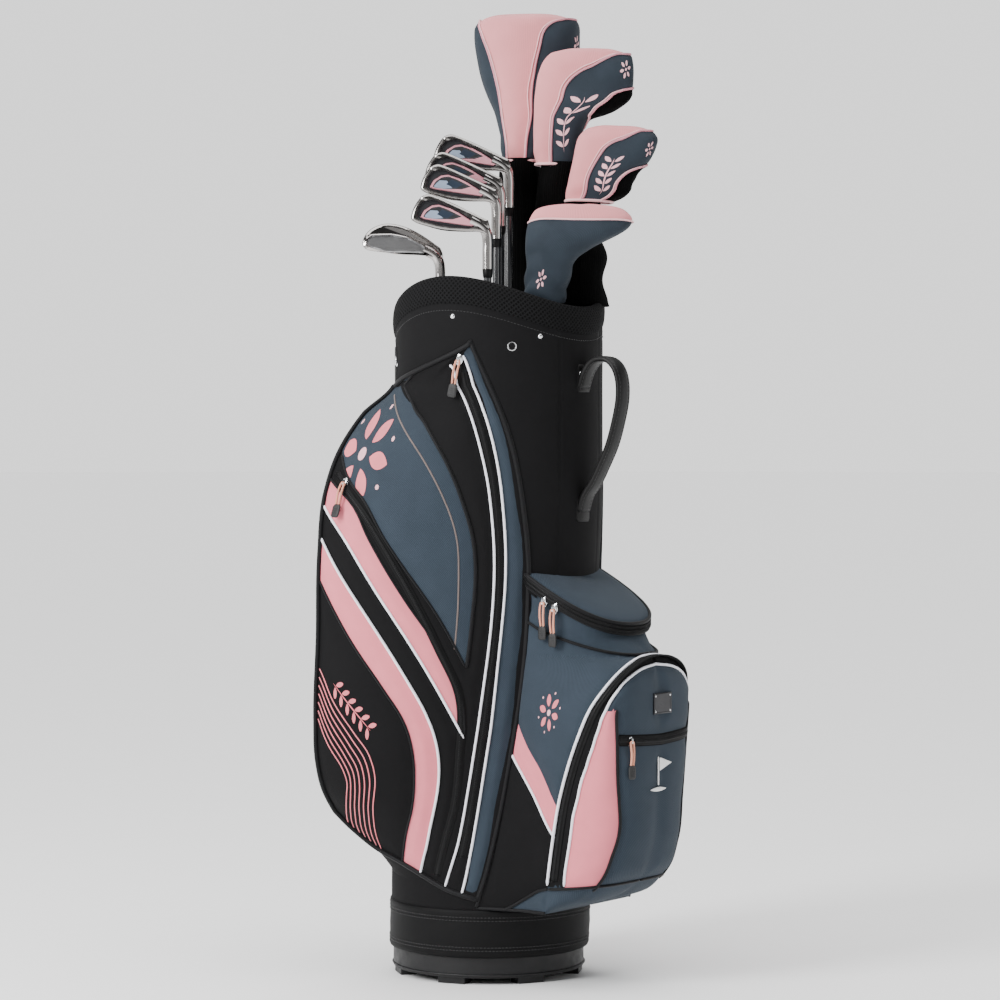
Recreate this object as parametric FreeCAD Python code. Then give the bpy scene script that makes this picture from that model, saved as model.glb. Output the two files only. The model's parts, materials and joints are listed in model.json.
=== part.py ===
"""Golf club set: a cart bag with nine clubs, four headcovers, pockets and zip pulls.

Millimetres, +Z up. The origin is the centre of the bag's base, on the ground.
The bag's front, with its ball pocket and grab handle, faces -Y. The two side
pockets lie on -X and +X and mirror each other about the plane x = 0.
"""
import FreeCAD, Part
import math
import os

V = FreeCAD.Vector
UP = V(0, 0, 1)

# Tube: a round tube that leans slightly forward and widens up to LEAN_TOP.
TUBE_R_LOW = 119.0
TUBE_R_TOP = 125.5
TUBE_LEAN = 16.0
LEAN_TOP = 600.0
TUBE_WALL = 3.0

# Base.
BASE_R = 118.0
BASE_H = 36.0
BASE_WALL = 4.0
BASE_PLATE = 8.0
FOOT_H = 8.0
FOOT_WIDTH = 35.0
FOOT_DEPTH = 20.0
FOOT_ANGLES = (-130, -77, -27, 27, 77, 130, 180)
REST_PAD_R = 30.0
BAND_TOP = 90.0
BAND_GROW = 2.0
PAD_R = 111.5
FLOOR_Z = 60.0

# Cuff: the rim is a saddle, high at the sides and low at front and back.
RIM_FRONT = 790.0
RIM_SIDE_RISE = 44.0
RIM_BACK_DROP = 8.5
COLLAR_H = 29.0
COLLAR_R = 128.5
RING_R_IN = 114.0
RING_R_OUT = 122.4
RING_LOW = 735.0

# Dividers, measured from the tube's centre line at the cuff.
WALL_BACK_Y = 48.0
WALL_FRONT_Y = -56.0
WALL_LEFT_X = -61.5
WALL_RIGHT_X = 60.0
WALL_REAR_X = 6.0
WALL_NOSE_X = 20.0
WALL_T = 2.4
WALL_TOP = 775.0
PANEL_T = 1.2
PANEL_LOW = 62.0

# Clubs: view directions that the heads are turned by.
TURN = math.radians(-54.0)
SIDE = V(math.cos(TURN), math.sin(TURN), 0)
NEAR = V(math.sin(TURN), -math.cos(TURN), 0)
GRIP_LEN = 265.0
GRIP_R_BUTT = 12.3
GRIP_R_MOUTH = 8.6
SHAFT_R_BUTT = 7.4
SHAFT_R_TIP = 4.7
HOSEL_R = 6.6
HOSEL_LEN = 58.0
HOSEL_BORE = 32.0
IRON_TILT = math.radians(23.8)

# Side pockets: (height, angle of the front seam from -Y, back edge x, back edge y).
POCKET_LEVELS = (
    (772, 69.0, 117, -40),
    (748, 64.0, 128, 20),
    (724, 59.0, 82, 90),
    (690, 52.6, 118, 101),
    (645, 46.2, 156, 109),
    (595, 41.9, 179, 113),
    (520, 37.2, 190, 114),
    (420, 36.8, 193, 114),
    (320, 41.4, 198, 114),
    (270, 44.8, 195, 114),
    (235, 47.3, 183, 114),
    (195, 50.6, 151, 114),
    (160, 54.0, 127, 103),
    (125, 58.0, 112, 89),
    (94, 63.0, 98, 76),
)
POCKET_WALL = 4.0
POCKET_REAR_ANGLE = 158.0
POCKET_ROOT = 3.0

# Front pockets.
BALL_LOW = 93.0
BALL_TOP = 400.0
BALL_HALF = 91.0
BALL_SHOULDER = 322.0
ZIP_LOW_Y = -150.0
ZIP_TOP_Y = -226.0
ZIP_GAP = 0.5
POCKET_SKIN = 4.0
COOLER_LOW = 403.0
COOLER_RIM_BACK = 486.0
COOLER_RIM_FRONT = 428.0
LID_HINGE_Y = -144.0
COOLER_BACK_Y = -112.0
COOLER_FRONT_Y = -216.0
LID_T = 13.0
PLATE_W = 38.0
PLATE_H = 25.0

# Grab handle, zip pulls and studs.
HANDLE_W = 25.0
STUD_R = 5.0
SLIDER = (8.0, 4.0, 12.0)
CORD_R = 1.3
CORD_LEN = 26.0
TAB = (11.0, 2.6, 17.0)

os.makedirs("parts", exist_ok=True)


def export(name, shape):
    shape.exportStep("parts/" + name + ".step")


def tube_y(z):
    return -TUBE_LEAN * min(z, LEAN_TOP) / LEAN_TOP


def tube_r(z):
    return TUBE_R_LOW + (TUBE_R_TOP - TUBE_R_LOW) * min(z, LEAN_TOP) / LEAN_TOP


def on_tube(angle, z, grow=0.0):
    """Point on the tube at an angle from the front towards -X, in degrees."""
    a = math.radians(angle)
    r = tube_r(z) + grow
    return V(-r * math.sin(a), tube_y(z) - r * math.cos(a), z)


def tube_solid(grow, low, high):
    levels = [low, high]
    if low < LEAN_TOP < high:
        levels.insert(1, LEAN_TOP)
    wires = []
    for z in levels:
        circle = Part.makeCircle(tube_r(z) + grow, V(0, tube_y(z), z))
        wires.append(Part.Wire(circle))
    return Part.makeLoft(wires, True, True)


def box(low, high):
    size = V(*high) - V(*low)
    return Part.makeBox(size.x, size.y, size.z, V(*low))


def prism(points, direction):
    wire = Part.makePolygon([V(*p) for p in points] + [V(*points[0])])
    return Part.Face(wire).extrude(direction)


def below_saddle(front):
    """Everything under the cuff's saddle surface, whose front point is at this height."""
    half = 170.0
    reach = 160.0
    slope = -RIM_BACK_DROP / TUBE_R_TOP
    start_y = tube_y(LEAN_TOP) - reach
    middle = front + slope * (TUBE_R_TOP - reach)
    rise = RIM_SIDE_RISE * (half / TUBE_R_TOP) ** 2
    curve = Part.BezierCurve()
    curve.setPoles([
        V(-half, start_y, middle + rise),
        V(0, start_y, middle - rise),
        V(half, start_y, middle + rise),
    ])
    floor = -200.0
    sides = Part.makePolygon([
        V(half, start_y, middle + rise),
        V(half, start_y, floor),
        V(-half, start_y, floor),
        V(-half, start_y, middle + rise),
    ])
    face = Part.Face(Part.Wire([curve.toShape()] + sides.Edges))
    return face.extrude(V(0, 2 * reach, 2 * reach * slope))


# ---------------------------------------------------------------- bag body

def base_moulding():
    shell = Part.makeCylinder(BASE_R, BASE_H - FOOT_H, V(0, 0, FOOT_H))
    hollow = Part.makeCylinder(BASE_R - BASE_WALL, BASE_H, V(0, 0, FOOT_H + BASE_PLATE))
    body = shell.cut(hollow)
    body = body.fuse(Part.makeCylinder(REST_PAD_R, FOOT_H + 1.0))
    foot_out = BASE_R - 3.0
    for angle in FOOT_ANGLES:
        foot = box((-FOOT_WIDTH / 2, -foot_out, 0), (FOOT_WIDTH / 2, FOOT_DEPTH - foot_out, FOOT_H + 1.0))
        foot.rotate(V(0, 0, 0), UP, -angle)
        body = body.fuse(foot)
    return body.removeSplitter()


def base_band():
    return tube_solid(BAND_GROW, BASE_H, BAND_TOP).cut(tube_solid(0, BASE_H - 1, BAND_TOP + 1))


def tube_shell():
    top = RIM_FRONT + 2 * RIM_SIDE_RISE
    shell = tube_solid(0, BASE_H, top).cut(tube_solid(-TUBE_WALL, BASE_H - 1, top + 1))
    return shell.common(below_saddle(RIM_FRONT))


def cuff_band(r_in, r_out, low, front_low, front_high):
    """Ring round the cuff between two radii, under one saddle and over another."""
    centre = V(0, tube_y(LEAN_TOP), low)
    height = 200.0
    ring = Part.makeCylinder(r_out, height, centre).cut(Part.makeCylinder(r_in, height, centre))
    ring = ring.common(below_saddle(front_high))
    if front_low is not None:
        ring = ring.cut(below_saddle(front_low))
    return ring


def divider_boxes(thick, low, high, reach, nose):
    """Six walls that share the tube into seven cells."""
    cy = tube_y(LEAN_TOP)
    h = thick / 2
    gap = h + 0.3
    back = cy + WALL_BACK_Y
    front = cy + WALL_FRONT_Y
    half_back = math.sqrt(reach ** 2 - WALL_BACK_Y ** 2) - 2
    half_front = math.sqrt(reach ** 2 - (WALL_FRONT_Y + nose) ** 2) - 2
    walls = [
        box((-half_back, back - h, low), (half_back, back + h, high)),
        box((-half_front, front - h, low), (half_front, front + h, high)),
    ]
    for x in (WALL_LEFT_X, WALL_RIGHT_X):
        walls.append(box((x - h, front + gap, low), (x + h, back - gap, high)))
    rear = cy + math.sqrt(reach ** 2 - WALL_REAR_X ** 2) - 1
    walls.append(box((WALL_REAR_X - h, back + gap, low), (WALL_REAR_X + h, rear, high)))
    tip = cy - math.sqrt(reach ** 2 - WALL_NOSE_X ** 2) + nose + 1.5
    walls.append(box((WALL_NOSE_X - h, tip, low), (WALL_NOSE_X + h, front - gap, high)))
    return Part.makeCompound(walls)


# ------------------------------------------------------------ side pockets

def pocket_poles(level, inset):
    """Bezier poles of the left pocket's outer wall at one level, from front seam to back edge."""
    z, angle, back_x, back_y = level
    seam = on_tube(angle, z)
    start = on_tube(angle, z, -POCKET_ROOT)
    end = V(-back_x + inset * 0.9, back_y - inset, z)
    reach = (end - seam).Length
    a = math.radians(angle)
    out = V(-math.cos(a), math.sin(a), 0)
    side = V(inset, 0, 0)
    near_pole = seam + out * reach * 0.36 + side
    far_pole = end - V(0.15, 0.99, 0) * reach * 0.32 + side
    return [start + side * 0.4, near_pole, far_pole, end]


def pocket_wire(level, inset):
    poles = pocket_poles(level, inset)
    curve = Part.BezierCurve()
    curve.setPoles(poles)
    z = level[0]
    rear = on_tube(POCKET_REAR_ANGLE, z, -2 * POCKET_ROOT)
    if level[3] < 80 and z > 600:
        rear = on_tube(level[1] + 50 + (780 - z), z, -8)
    core = V(-40, tube_y(z), z)
    edges = [
        curve.toShape(),
        Part.makeLine(poles[3], rear),
        Part.makeLine(rear, core),
        Part.makeLine(core, poles[0]),
    ]
    return Part.Wire(edges)


def side_pocket():
    outer = Part.makeLoft([pocket_wire(level, 0.0) for level in POCKET_LEVELS], True, True)
    inner_levels = [level for level in POCKET_LEVELS if 160 <= level[0] <= 690]
    inner = Part.makeLoft([pocket_wire(level, POCKET_WALL) for level in inner_levels], True, True)
    filled = off_axis(outer.cut(tube_solid(0, BASE_H, RIM_FRONT)))
    hollow = off_axis(inner.cut(tube_solid(POCKET_WALL, BASE_H, RIM_FRONT)))
    return filled.cut(hollow)


def pocket_frame(level_z, t):
    """Point, outward normal and downward tangent on the left pocket's wall."""
    def at(z, s):
        k = 0
        while POCKET_LEVELS[k + 1][0] > z:
            k += 1
        low = POCKET_LEVELS[k + 1]
        high = POCKET_LEVELS[k]
        f = (z - low[0]) / (high[0] - low[0])
        point = V(0, 0, 0)
        for lower, upper, weight in zip(
            pocket_poles(low, 0.0), pocket_poles(high, 0.0),
            ((1 - s) ** 3, 3 * s * (1 - s) ** 2, 3 * s * s * (1 - s), s ** 3),
        ):
            point += (lower + (upper - lower) * f) * weight
        return point
    step = 14.0
    point = at(level_z, t)
    down = (at(level_z - step, t) - at(level_z, t)).normalize()
    along = (at(level_z, t + 0.02) - at(level_z, t - 0.02)).normalize()
    normal = along.cross(down).normalize()
    if normal.x > 0:
        normal = normal * -1
    return point, normal, down


# ------------------------------------------------------------ front pockets

def zip_y(z):
    return ZIP_LOW_Y + (ZIP_TOP_Y - ZIP_LOW_Y) * (z - BALL_LOW) / (BALL_TOP - BALL_LOW)


def ball_form(inset):
    """Outer form of the ball pocket: plan, side and front outlines intersected."""
    i = inset
    half = BALL_HALF - i
    plan = [
        (-half + 12, -70, 0), (-half, -165, 0), (-half + 2, -205, 0), (-half + 8, -226, 0),
        (-half + 22, -240 + i, 0), (-40, -250 + i, 0), (0, -255 + i, 0),
    ]
    plan = plan + [(-x, y, z) for x, y, z in reversed(plan[:-1])]
    low = BALL_LOW + i
    top = BALL_TOP - i
    side = [
        (0, -70, low), (0, ZIP_LOW_Y, low + 1), (0, -200, low + 17), (0, -232 + i, low + 42),
        (0, -250 + i, low + 80), (0, -255 + i, 230), (0, -256 + i, 330), (0, -252 + i, top - 32),
        (0, -243 + i, top - 12), (0, ZIP_TOP_Y + 1, top), (0, -70, top),
    ]
    front = [(-half, 0, BALL_SHOULDER), (-half, 0, low), (half, 0, low), (half, 0, BALL_SHOULDER)]
    arch = []
    for k in range(1, 12):
        a = math.pi * k / 12
        arch.append((half * math.cos(a), 0, BALL_SHOULDER + (top - BALL_SHOULDER) * math.sin(a) ** 0.85))
    form = prism(plan, V(0, 0, 500))
    shift = 120.0
    form = form.common(prism([(-shift, y, z) for x, y, z in side], V(2 * shift, 0, 0)))
    start = -300.0
    return form.common(prism([(x, start, z) for x, y, z in front + arch], V(0, 260, 0)))


def zip_cutter(offset):
    """Everything in front of the leaning plane of the arched zip."""
    low = 0.0
    high = 500.0
    far = -400.0
    outline = [
        (-150, zip_y(low) + offset, low), (-150, zip_y(high) + offset, high),
        (-150, far, high), (-150, far, low),
    ]
    return prism(outline, V(300, 0, 0))


def ball_pocket_back():
    shell = ball_form(0).cut(ball_form(POCKET_SKIN))
    return shell.cut(zip_cutter(0)).cut(tube_solid(0, 0, 700))


def ball_pocket_door():
    shell = ball_form(0).cut(ball_form(POCKET_SKIN))
    return shell.common(zip_cutter(-ZIP_GAP))


def cooler_outline(inset, z):
    i = inset
    half = [(-76 + i, -60, z), (-76 + i, -150, z), (-73 + i, -178, z), (-62 + i, -198 + i, z),
            (-38, -210 + i, z), (0, COOLER_FRONT_Y + i, z)]
    return half + [(-x, y, zz) for x, y, zz in reversed(half[:-1])]


def under_rim(lift):
    slope = (COOLER_RIM_BACK - COOLER_RIM_FRONT) / (COOLER_BACK_Y - COOLER_FRONT_Y)
    def z_at(y):
        return COOLER_RIM_BACK + slope * (y - COOLER_BACK_Y) + lift
    outline = [(-150, -40, 0), (-150, -40, z_at(-40)), (-150, -300, z_at(-300)), (-150, -300, 0)]
    return prism(outline, V(300, 0, 0))


def cooler_pocket():
    outer = prism(cooler_outline(0, COOLER_LOW), V(0, 0, 150))
    inner = prism(cooler_outline(POCKET_SKIN, COOLER_LOW + POCKET_SKIN), V(0, 0, 150))
    tub = outer.cut(inner).common(under_rim(0))
    skirt = prism(cooler_outline(-2, COOLER_LOW), V(0, 0, 150))
    shoulders = skirt.common(under_rim(LID_T)).cut(under_rim(0))
    shoulders = shoulders.common(box((-150, LID_HINGE_Y + 0.5, 0), (150, 0, 600)))
    return tub.fuse(shoulders).cut(tube_solid(0, 0, 700))


def cooler_lid():
    slab = prism(cooler_outline(-2, COOLER_LOW), V(0, 0, 150))
    slab = slab.common(under_rim(LID_T)).cut(under_rim(0.5))
    return slab.common(box((-150, -400, 0), (150, LID_HINGE_Y, 600)))


def name_plate():
    y = -256.3
    return box((-PLATE_W / 2, y - 1.6, 332), (PLATE_W / 2, y, 332 + PLATE_H))


# ------------------------------------------------------- handle and trim

def handle_strap():
    outer = [(-142, 566), (-150, 588), (-163, 606), (-176, 628), (-188, 652), (-197, 680), (-203, 708),
             (-203, 730), (-197, 748), (-185, 758), (-170, 760), (-156, 755), (-142, 744)]
    inner = [(-142, 724), (-156, 747), (-170, 752), (-181, 750), (-190, 743), (-196, 728), (-196, 708),
             (-190, 680), (-181, 652), (-169, 628), (-157, 606), (-146, 592), (-142, 584)]
    points = [(-HANDLE_W / 2, y, z) for y, z in outer + inner]
    return prism(points, V(HANDLE_W, 0, 0))


def dome(point, outward, radius, height):
    start = point - outward * 0.4
    return Part.makeCylinder(radius, height + 0.4, start, outward)


def handle_rivets():
    rivets = []
    for x, z in ((-7, 738), (7, 738), (0, 728), (-6, 575), (6, 575)):
        rivets.append(dome(V(x, -143.5, z), V(0, -1, 0), 3.2, 4.0))
    return Part.makeCompound(rivets)


def collar_studs():
    studs = []
    for angle, z in ((31, 783), (80, 807), (132, 750), (-31, 783), (-80, 807), (-132, 750)):
        a = math.radians(angle)
        outward = V(-math.sin(a), -math.cos(a), 0)
        studs.append(dome(on_tube(angle, z), outward, STUD_R, 3.0))
    return Part.makeCompound(studs)


def local_frame(point, normal, down):
    """Placement whose -Z hangs along down and whose +Y leaves the surface."""
    z_axis = down * -1
    y_axis = (normal - z_axis * normal.dot(z_axis)).normalize()
    x_axis = y_axis.cross(z_axis)
    matrix = FreeCAD.Matrix(
        x_axis.x, y_axis.x, z_axis.x, point.x,
        x_axis.y, y_axis.y, z_axis.y, point.y,
        x_axis.z, y_axis.z, z_axis.z, point.z,
        0, 0, 0, 1,
    )
    return FreeCAD.Placement(matrix)


def slider():
    w, t, h = SLIDER
    return box((-w / 2, -0.5, -h / 2), (w / 2, t, h / 2))


def pull():
    """Cord loop and tab hanging from the slider's eye at the local origin."""
    w, t, h = TAB
    cords = []
    for x in (-2.0, 2.0):
        cords.append(Part.makeCylinder(CORD_R, CORD_LEN + 1, V(x, 0, -CORD_LEN - 1)))
    cords.append(Part.makeCylinder(CORD_R, 4.0, V(-2, 0, -0.5), V(1, 0, 0)))
    tab = box((-w / 2, -t / 2, -CORD_LEN - h), (w / 2, t / 2, -CORD_LEN))
    shape = tab
    for cord in cords:
        shape = shape.fuse(cord)
    return shape


def placed(shape, placement, lift, drop=0.0):
    copy = shape.copy()
    copy.Placement = placement.multiply(FreeCAD.Placement(V(0, lift, drop), FreeCAD.Rotation()))
    return copy


def mirrored(shape):
    return shape.mirror(V(0, 0, 0), V(1, 0, 0))


def off_axis(shape):
    """The solid that lies furthest from the tube's axis, without what the tube cut off."""
    return max(shape.Solids, key=lambda solid: math.hypot(solid.CenterOfMass.x, solid.CenterOfMass.y))


# --------------------------------------------------------------- clubs

def face_point(p, q, w, centre_z):
    """Point p towards the toe, q above the heel and w towards the viewer's side."""
    return SIDE * -p + UP * (centre_z + q) + NEAR * w


def iron_head(heel_z, sole_width, outline, tilt):
    """Cavity-back blade turned sole up, on its hosel. The outline holds (p, q) pairs."""
    deepest = -min(q * math.cos(tilt) - p * math.sin(tilt) for p, q in outline)
    face = []
    back = []
    for p, q in outline:
        depth = -(q * math.cos(tilt) - p * math.sin(tilt)) / deepest
        w = -12.0 + 19.0 * depth
        thick = sole_width + (4.5 - sole_width) * depth
        face.append(face_point(p, q, w, heel_z))
        back.append(face_point(p, q, w + thick, heel_z))
    wires = [Part.makePolygon(side + [side[0]]) for side in (face, back)]
    blade = Part.makeLoft(wires, True, True)
    hosel = Part.makeCone(HOSEL_R, HOSEL_R + 0.6, HOSEL_LEN, V(0, 0, heel_z - HOSEL_LEN))
    return blade.fuse(hosel)


def egg(half_side, half_near, half_up):
    matrix = FreeCAD.Matrix()
    matrix.scale(half_side, half_near, half_up)
    return Part.makeSphere(1.0).transformGeometry(matrix)


def wood_head(heel_z, half_side, half_near, half_up, shift_side, shift_near, rise, wall):
    """Hollow wood or hybrid head: an egg-shaped shell on a hosel that runs up into it."""
    ball = egg(half_side, half_near, half_up).cut(egg(half_side - wall, half_near - wall, half_up - wall))
    ball.rotate(V(0, 0, 0), UP, math.degrees(TURN))
    ball.translate(SIDE * shift_side + NEAR * shift_near + UP * (heel_z + rise))
    low = heel_z - HOSEL_BORE
    hosel = Part.makeCone(HOSEL_R, HOSEL_R + 0.8, HOSEL_BORE + rise, V(0, 0, low))
    return ball.fuse(hosel)


def putter_head(heel_z):
    """Heel-shafted blade putter, toe towards +SIDE."""
    blade = box((-12, -10, 0), (76, 10, 15))
    blade.rotate(V(0, 0, 0), V(0, 1, 0), -12)
    blade.rotate(V(0, 0, 0), UP, math.degrees(TURN))
    blade.translate(UP * (heel_z - 1.5))
    hosel = Part.makeCone(HOSEL_R - 0.6, HOSEL_R, 40.0, V(0, 0, heel_z - 36.0))
    return blade.fuse(hosel)


def shaft_solid(tip_z):
    return Part.makeCone(SHAFT_R_BUTT, SHAFT_R_TIP, tip_z - 2.0, V(0, 0, 2.0))


def grip_solid(shaft, r_butt):
    grip = Part.makeCone(r_butt, GRIP_R_MOUTH, GRIP_LEN)
    return grip.cut(shaft)


def cover_solid(outline, near_mid, thick, neck_r, neck_low, neck_high, skin):
    """Headcover: a padded bulb with an open neck. The outline holds (side, height) pairs."""
    def bulb(inset):
        points = [SIDE * s + UP * z + NEAR * (near_mid - thick / 2 + inset) for s, z in outline]
        wire = Part.makePolygon(points + [points[0]])
        if inset:
            wire = wire.makeOffset2D(-inset)
        return Part.Face(wire).extrude(NEAR * (thick - 2 * inset))
    neck = Part.makeCylinder(neck_r, neck_high - neck_low, V(0, 0, neck_low))
    bore = Part.makeCylinder(neck_r - skin, neck_high - neck_low + 2 * skin, V(0, 0, neck_low - skin))
    return bulb(0).fuse(neck).cut(bulb(skin)).cut(bore)


IRON_OUTLINE = ((0, 2), (71, 32), (84, 23), (92, 3), (87, -2), (55, -11), (12, -13), (0, -22))
WEDGE_OUTLINE = (
    (0, 4), (29, 23), (56, 32), (69, 33), (83, 29), (92, 20), (96, 8), (89, 0), (47, -5), (12, -7), (0, -16),
)

# Each club: name, butt x and y, lean of its axis, heel height above the ground.
CLUBS = (
    ("driver", (76, 8), (0, 0), 1060),
    ("fairway", (78, -30), (0.002, -0.021), 1030),
    ("hybrid", (40, -87.5), (0.021, -0.0125), 968),
    ("iron_7", (10, -23.7), (0, 0), 1001),
    ("iron_8", (-20, -32.8), (0, 0), 977),
    ("iron_9", (-46.7, -46.2), (0, 0), 960),
    ("pitching_wedge", (-77, -55), (0, 0), 922),
    ("sand_wedge", (-15.4, 63.1), (0, 0), 892),
    ("putter", (-13, -100), (0, 0), 905),
)

COVERS = {
    "driver": dict(
        outline=((-25, 1002), (-50, 1160), (-34, 1183), (72, 1182), (78, 1140), (60, 1075), (25, 1002)),
        near_mid=-31.5, thick=85, neck_r=24.5, neck_low=830, neck_high=1010,
    ),
    "fairway": dict(
        outline=(
            (-24, 996), (-18, 1100), (-4, 1136), (26, 1140), (92, 1136), (94, 1098), (60, 1078), (25, 1000),
        ),
        near_mid=1.75, thick=42.1, neck_r=22, neck_low=905, neck_high=1008,
    ),
    "hybrid": dict(
        outline=(
            (-20, 946), (-8, 1030), (6, 1042), (66, 1044), (76, 1030), (68, 998), (38, 976), (22, 946),
        ),
        near_mid=2, thick=42, neck_r=20.5, neck_low=850, neck_high=958,
    ),
    "putter": dict(
        outline=((-22, 876), (-24, 924), (-4, 946), (50, 946), (98, 934), (100, 926), (60, 908), (28, 880)),
        near_mid=2, thick=50, neck_r=22, neck_low=838, neck_high=884,
    ),
}
COVER_SKIN = 3.0
CLUB_REST = 0.5


def club_head(name, heel):
    if name == "driver":
        return wood_head(heel, 52, 36, 44, 14, -32, 58, 1.2)
    if name == "fairway":
        return wood_head(heel, 42, 17, 22, 33, 2, 70, 2.0)
    if name == "hybrid":
        return wood_head(heel, 34, 17, 19, 28, 2, 42, 2.8)
    if name == "putter":
        return putter_head(heel)
    if name == "sand_wedge":
        return iron_head(heel, 15.0, WEDGE_OUTLINE, math.radians(21.0))
    return iron_head(heel, 17.0, IRON_OUTLINE, IRON_TILT)


def make_clubs():
    for name, (x, y), (lean_x, lean_y), heel_z in CLUBS:
        axis = V(lean_x, lean_y, 1).normalize()
        place = FreeCAD.Placement(V(x, y, FLOOR_Z + CLUB_REST), FreeCAD.Rotation(UP, axis))
        heel = heel_z - FLOOR_Z
        tip = heel - HOSEL_LEN + HOSEL_BORE
        if name in ("driver", "fairway", "hybrid", "putter"):
            tip = heel
        shaft = shaft_solid(tip)
        r_butt = 14.0 if name == "putter" else GRIP_R_BUTT
        pieces = {
            name + "_head": club_head(name, heel).cut(shaft),
            name + "_shaft": shaft,
            name + "_grip": grip_solid(shaft, r_butt),
        }
        if name in COVERS:
            spec = COVERS[name]
            low = FLOOR_Z
            pieces[name + "_cover"] = cover_solid(
                [(s, z - low) for s, z in spec["outline"]], spec["near_mid"], spec["thick"],
                spec["neck_r"], spec["neck_low"] - low, spec["neck_high"] - low, COVER_SKIN,
            )
        for node, shape in pieces.items():
            shape.Placement = place.multiply(shape.Placement)
            export(node, shape)


def make_bag():
    export("base_moulding", base_moulding())
    pad_low = FOOT_H + BASE_PLATE
    export("floor_pad", Part.makeCylinder(PAD_R, FLOOR_Z - pad_low, V(0, 0, pad_low)))
    export("base_band", base_band())
    export("tube_shell", tube_shell())
    export("top_ring", cuff_band(RING_R_IN, RING_R_OUT, RING_LOW, None, RIM_FRONT))
    export("top_divider_walls", divider_boxes(WALL_T, RING_LOW, WALL_TOP, RING_R_IN, 0.0))
    panels = divider_boxes(PANEL_T, PANEL_LOW, RING_LOW - 0.3, RING_R_IN - 4, 14.0)
    export("divider_panels", panels.common(tube_solid(-TUBE_WALL - 0.3, PANEL_LOW - 1, RING_LOW)))
    export("cuff_collar", cuff_band(RING_R_IN, COLLAR_R, RING_LOW, RIM_FRONT, RIM_FRONT + COLLAR_H))
    left = side_pocket()
    export("side_pocket_left", left)
    export("side_pocket_right", mirrored(left))
    export("ball_pocket_back", ball_pocket_back())
    export("ball_pocket_door", ball_pocket_door())
    export("cooler_pocket", cooler_pocket())
    export("cooler_lid", cooler_lid())
    export("name_plate", name_plate())
    export("handle_strap", handle_strap())
    export("handle_rivets", handle_rivets())
    export("collar_studs", collar_studs())


def zip_places():
    """Where each zip slider sits: name, placement, lift off the surface."""
    along = V(62, -10.5, 0)
    turn = math.radians(75.5)
    out = V(-math.sin(turn), -math.cos(turn), 0)
    back = V(-math.cos(turn), math.sin(turn), 0)
    upper = V(0, tube_y(755), 755) + out * (TUBE_R_TOP + 1.3)
    return {
        "side_upper": (local_frame(upper, out, (back * 0.2 - UP).normalize()), 1.2),
        "side_lower": (local_frame(*pocket_frame(606, 0.88)), 0.3),
        "cooler_a": (local_frame(V(-78.2, -141, 466), V(-1, 0, 0), UP * -1), 0.3),
        "cooler_b": (local_frame(V(-78.2, -156, 458), V(-1, 0, 0), UP * -1), 0.3),
        "front": (local_frame(V(-58, -247.6, 304), V(along.y, -along.x, 0).normalize(), UP * -1), 0.5),
    }


def make_zips():
    sliders = {}
    for name, (frame, lift) in zip_places().items():
        piece = placed(slider(), frame, lift)
        hanging = placed(pull(), frame, SLIDER[1] + CORD_R + lift + 0.4, -3.0)
        if name.startswith("side"):
            level = name.split("_")[1]
            export("side_zip_pull_left_" + level, hanging)
            export("side_zip_pull_right_" + level, mirrored(hanging))
            sliders.setdefault("side_zip_sliders", []).extend([piece, mirrored(piece)])
        elif name.startswith("cooler"):
            export("cooler_zip_pull_" + name[-1], hanging)
            sliders.setdefault("cooler_zip_sliders", []).append(piece)
        else:
            export("front_zip_pull", hanging)
            sliders["front_zip_slider"] = [piece]
    for node, pieces in sliders.items():
        export(node, Part.makeCompound(pieces))


make_bag()
make_clubs()
make_zips()
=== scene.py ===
"""Golf club set: the looks of a cart bag with nine clubs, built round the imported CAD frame.

Sizes in this script are millimetres in the frame's axes (+Z up, the bag's front to -Y);
MM turns them into Blender's metres when a mesh is made. The left side (-X) is built
first and mirrored to the right.
"""

import bmesh
import bpy
import json
import math
import numpy as np
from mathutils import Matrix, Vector
from mathutils.geometry import delaunay_2d_cdt
from mathutils.kdtree import KDTree

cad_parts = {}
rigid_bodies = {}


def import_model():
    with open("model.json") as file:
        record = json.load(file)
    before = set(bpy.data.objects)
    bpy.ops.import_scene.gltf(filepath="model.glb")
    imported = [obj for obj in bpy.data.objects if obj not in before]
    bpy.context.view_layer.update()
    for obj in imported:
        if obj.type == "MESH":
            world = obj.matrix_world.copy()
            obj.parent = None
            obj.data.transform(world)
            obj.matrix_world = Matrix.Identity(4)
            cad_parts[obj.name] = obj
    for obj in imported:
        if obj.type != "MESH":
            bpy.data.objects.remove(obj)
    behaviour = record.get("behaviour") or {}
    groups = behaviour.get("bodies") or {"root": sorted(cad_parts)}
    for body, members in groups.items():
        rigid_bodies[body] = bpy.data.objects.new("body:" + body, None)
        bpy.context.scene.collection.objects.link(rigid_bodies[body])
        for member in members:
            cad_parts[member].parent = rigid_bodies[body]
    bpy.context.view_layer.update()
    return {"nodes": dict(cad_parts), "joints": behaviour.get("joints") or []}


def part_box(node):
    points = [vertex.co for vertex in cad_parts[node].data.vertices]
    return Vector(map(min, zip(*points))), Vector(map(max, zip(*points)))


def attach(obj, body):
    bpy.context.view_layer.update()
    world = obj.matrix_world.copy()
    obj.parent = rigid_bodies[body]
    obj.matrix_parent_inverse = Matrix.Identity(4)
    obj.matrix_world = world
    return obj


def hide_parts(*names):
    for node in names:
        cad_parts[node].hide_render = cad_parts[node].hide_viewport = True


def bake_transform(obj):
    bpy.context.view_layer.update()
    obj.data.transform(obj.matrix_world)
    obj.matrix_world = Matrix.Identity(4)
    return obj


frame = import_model()

MM = 0.001

# ------------------------------------------------------------------ sizes

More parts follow.
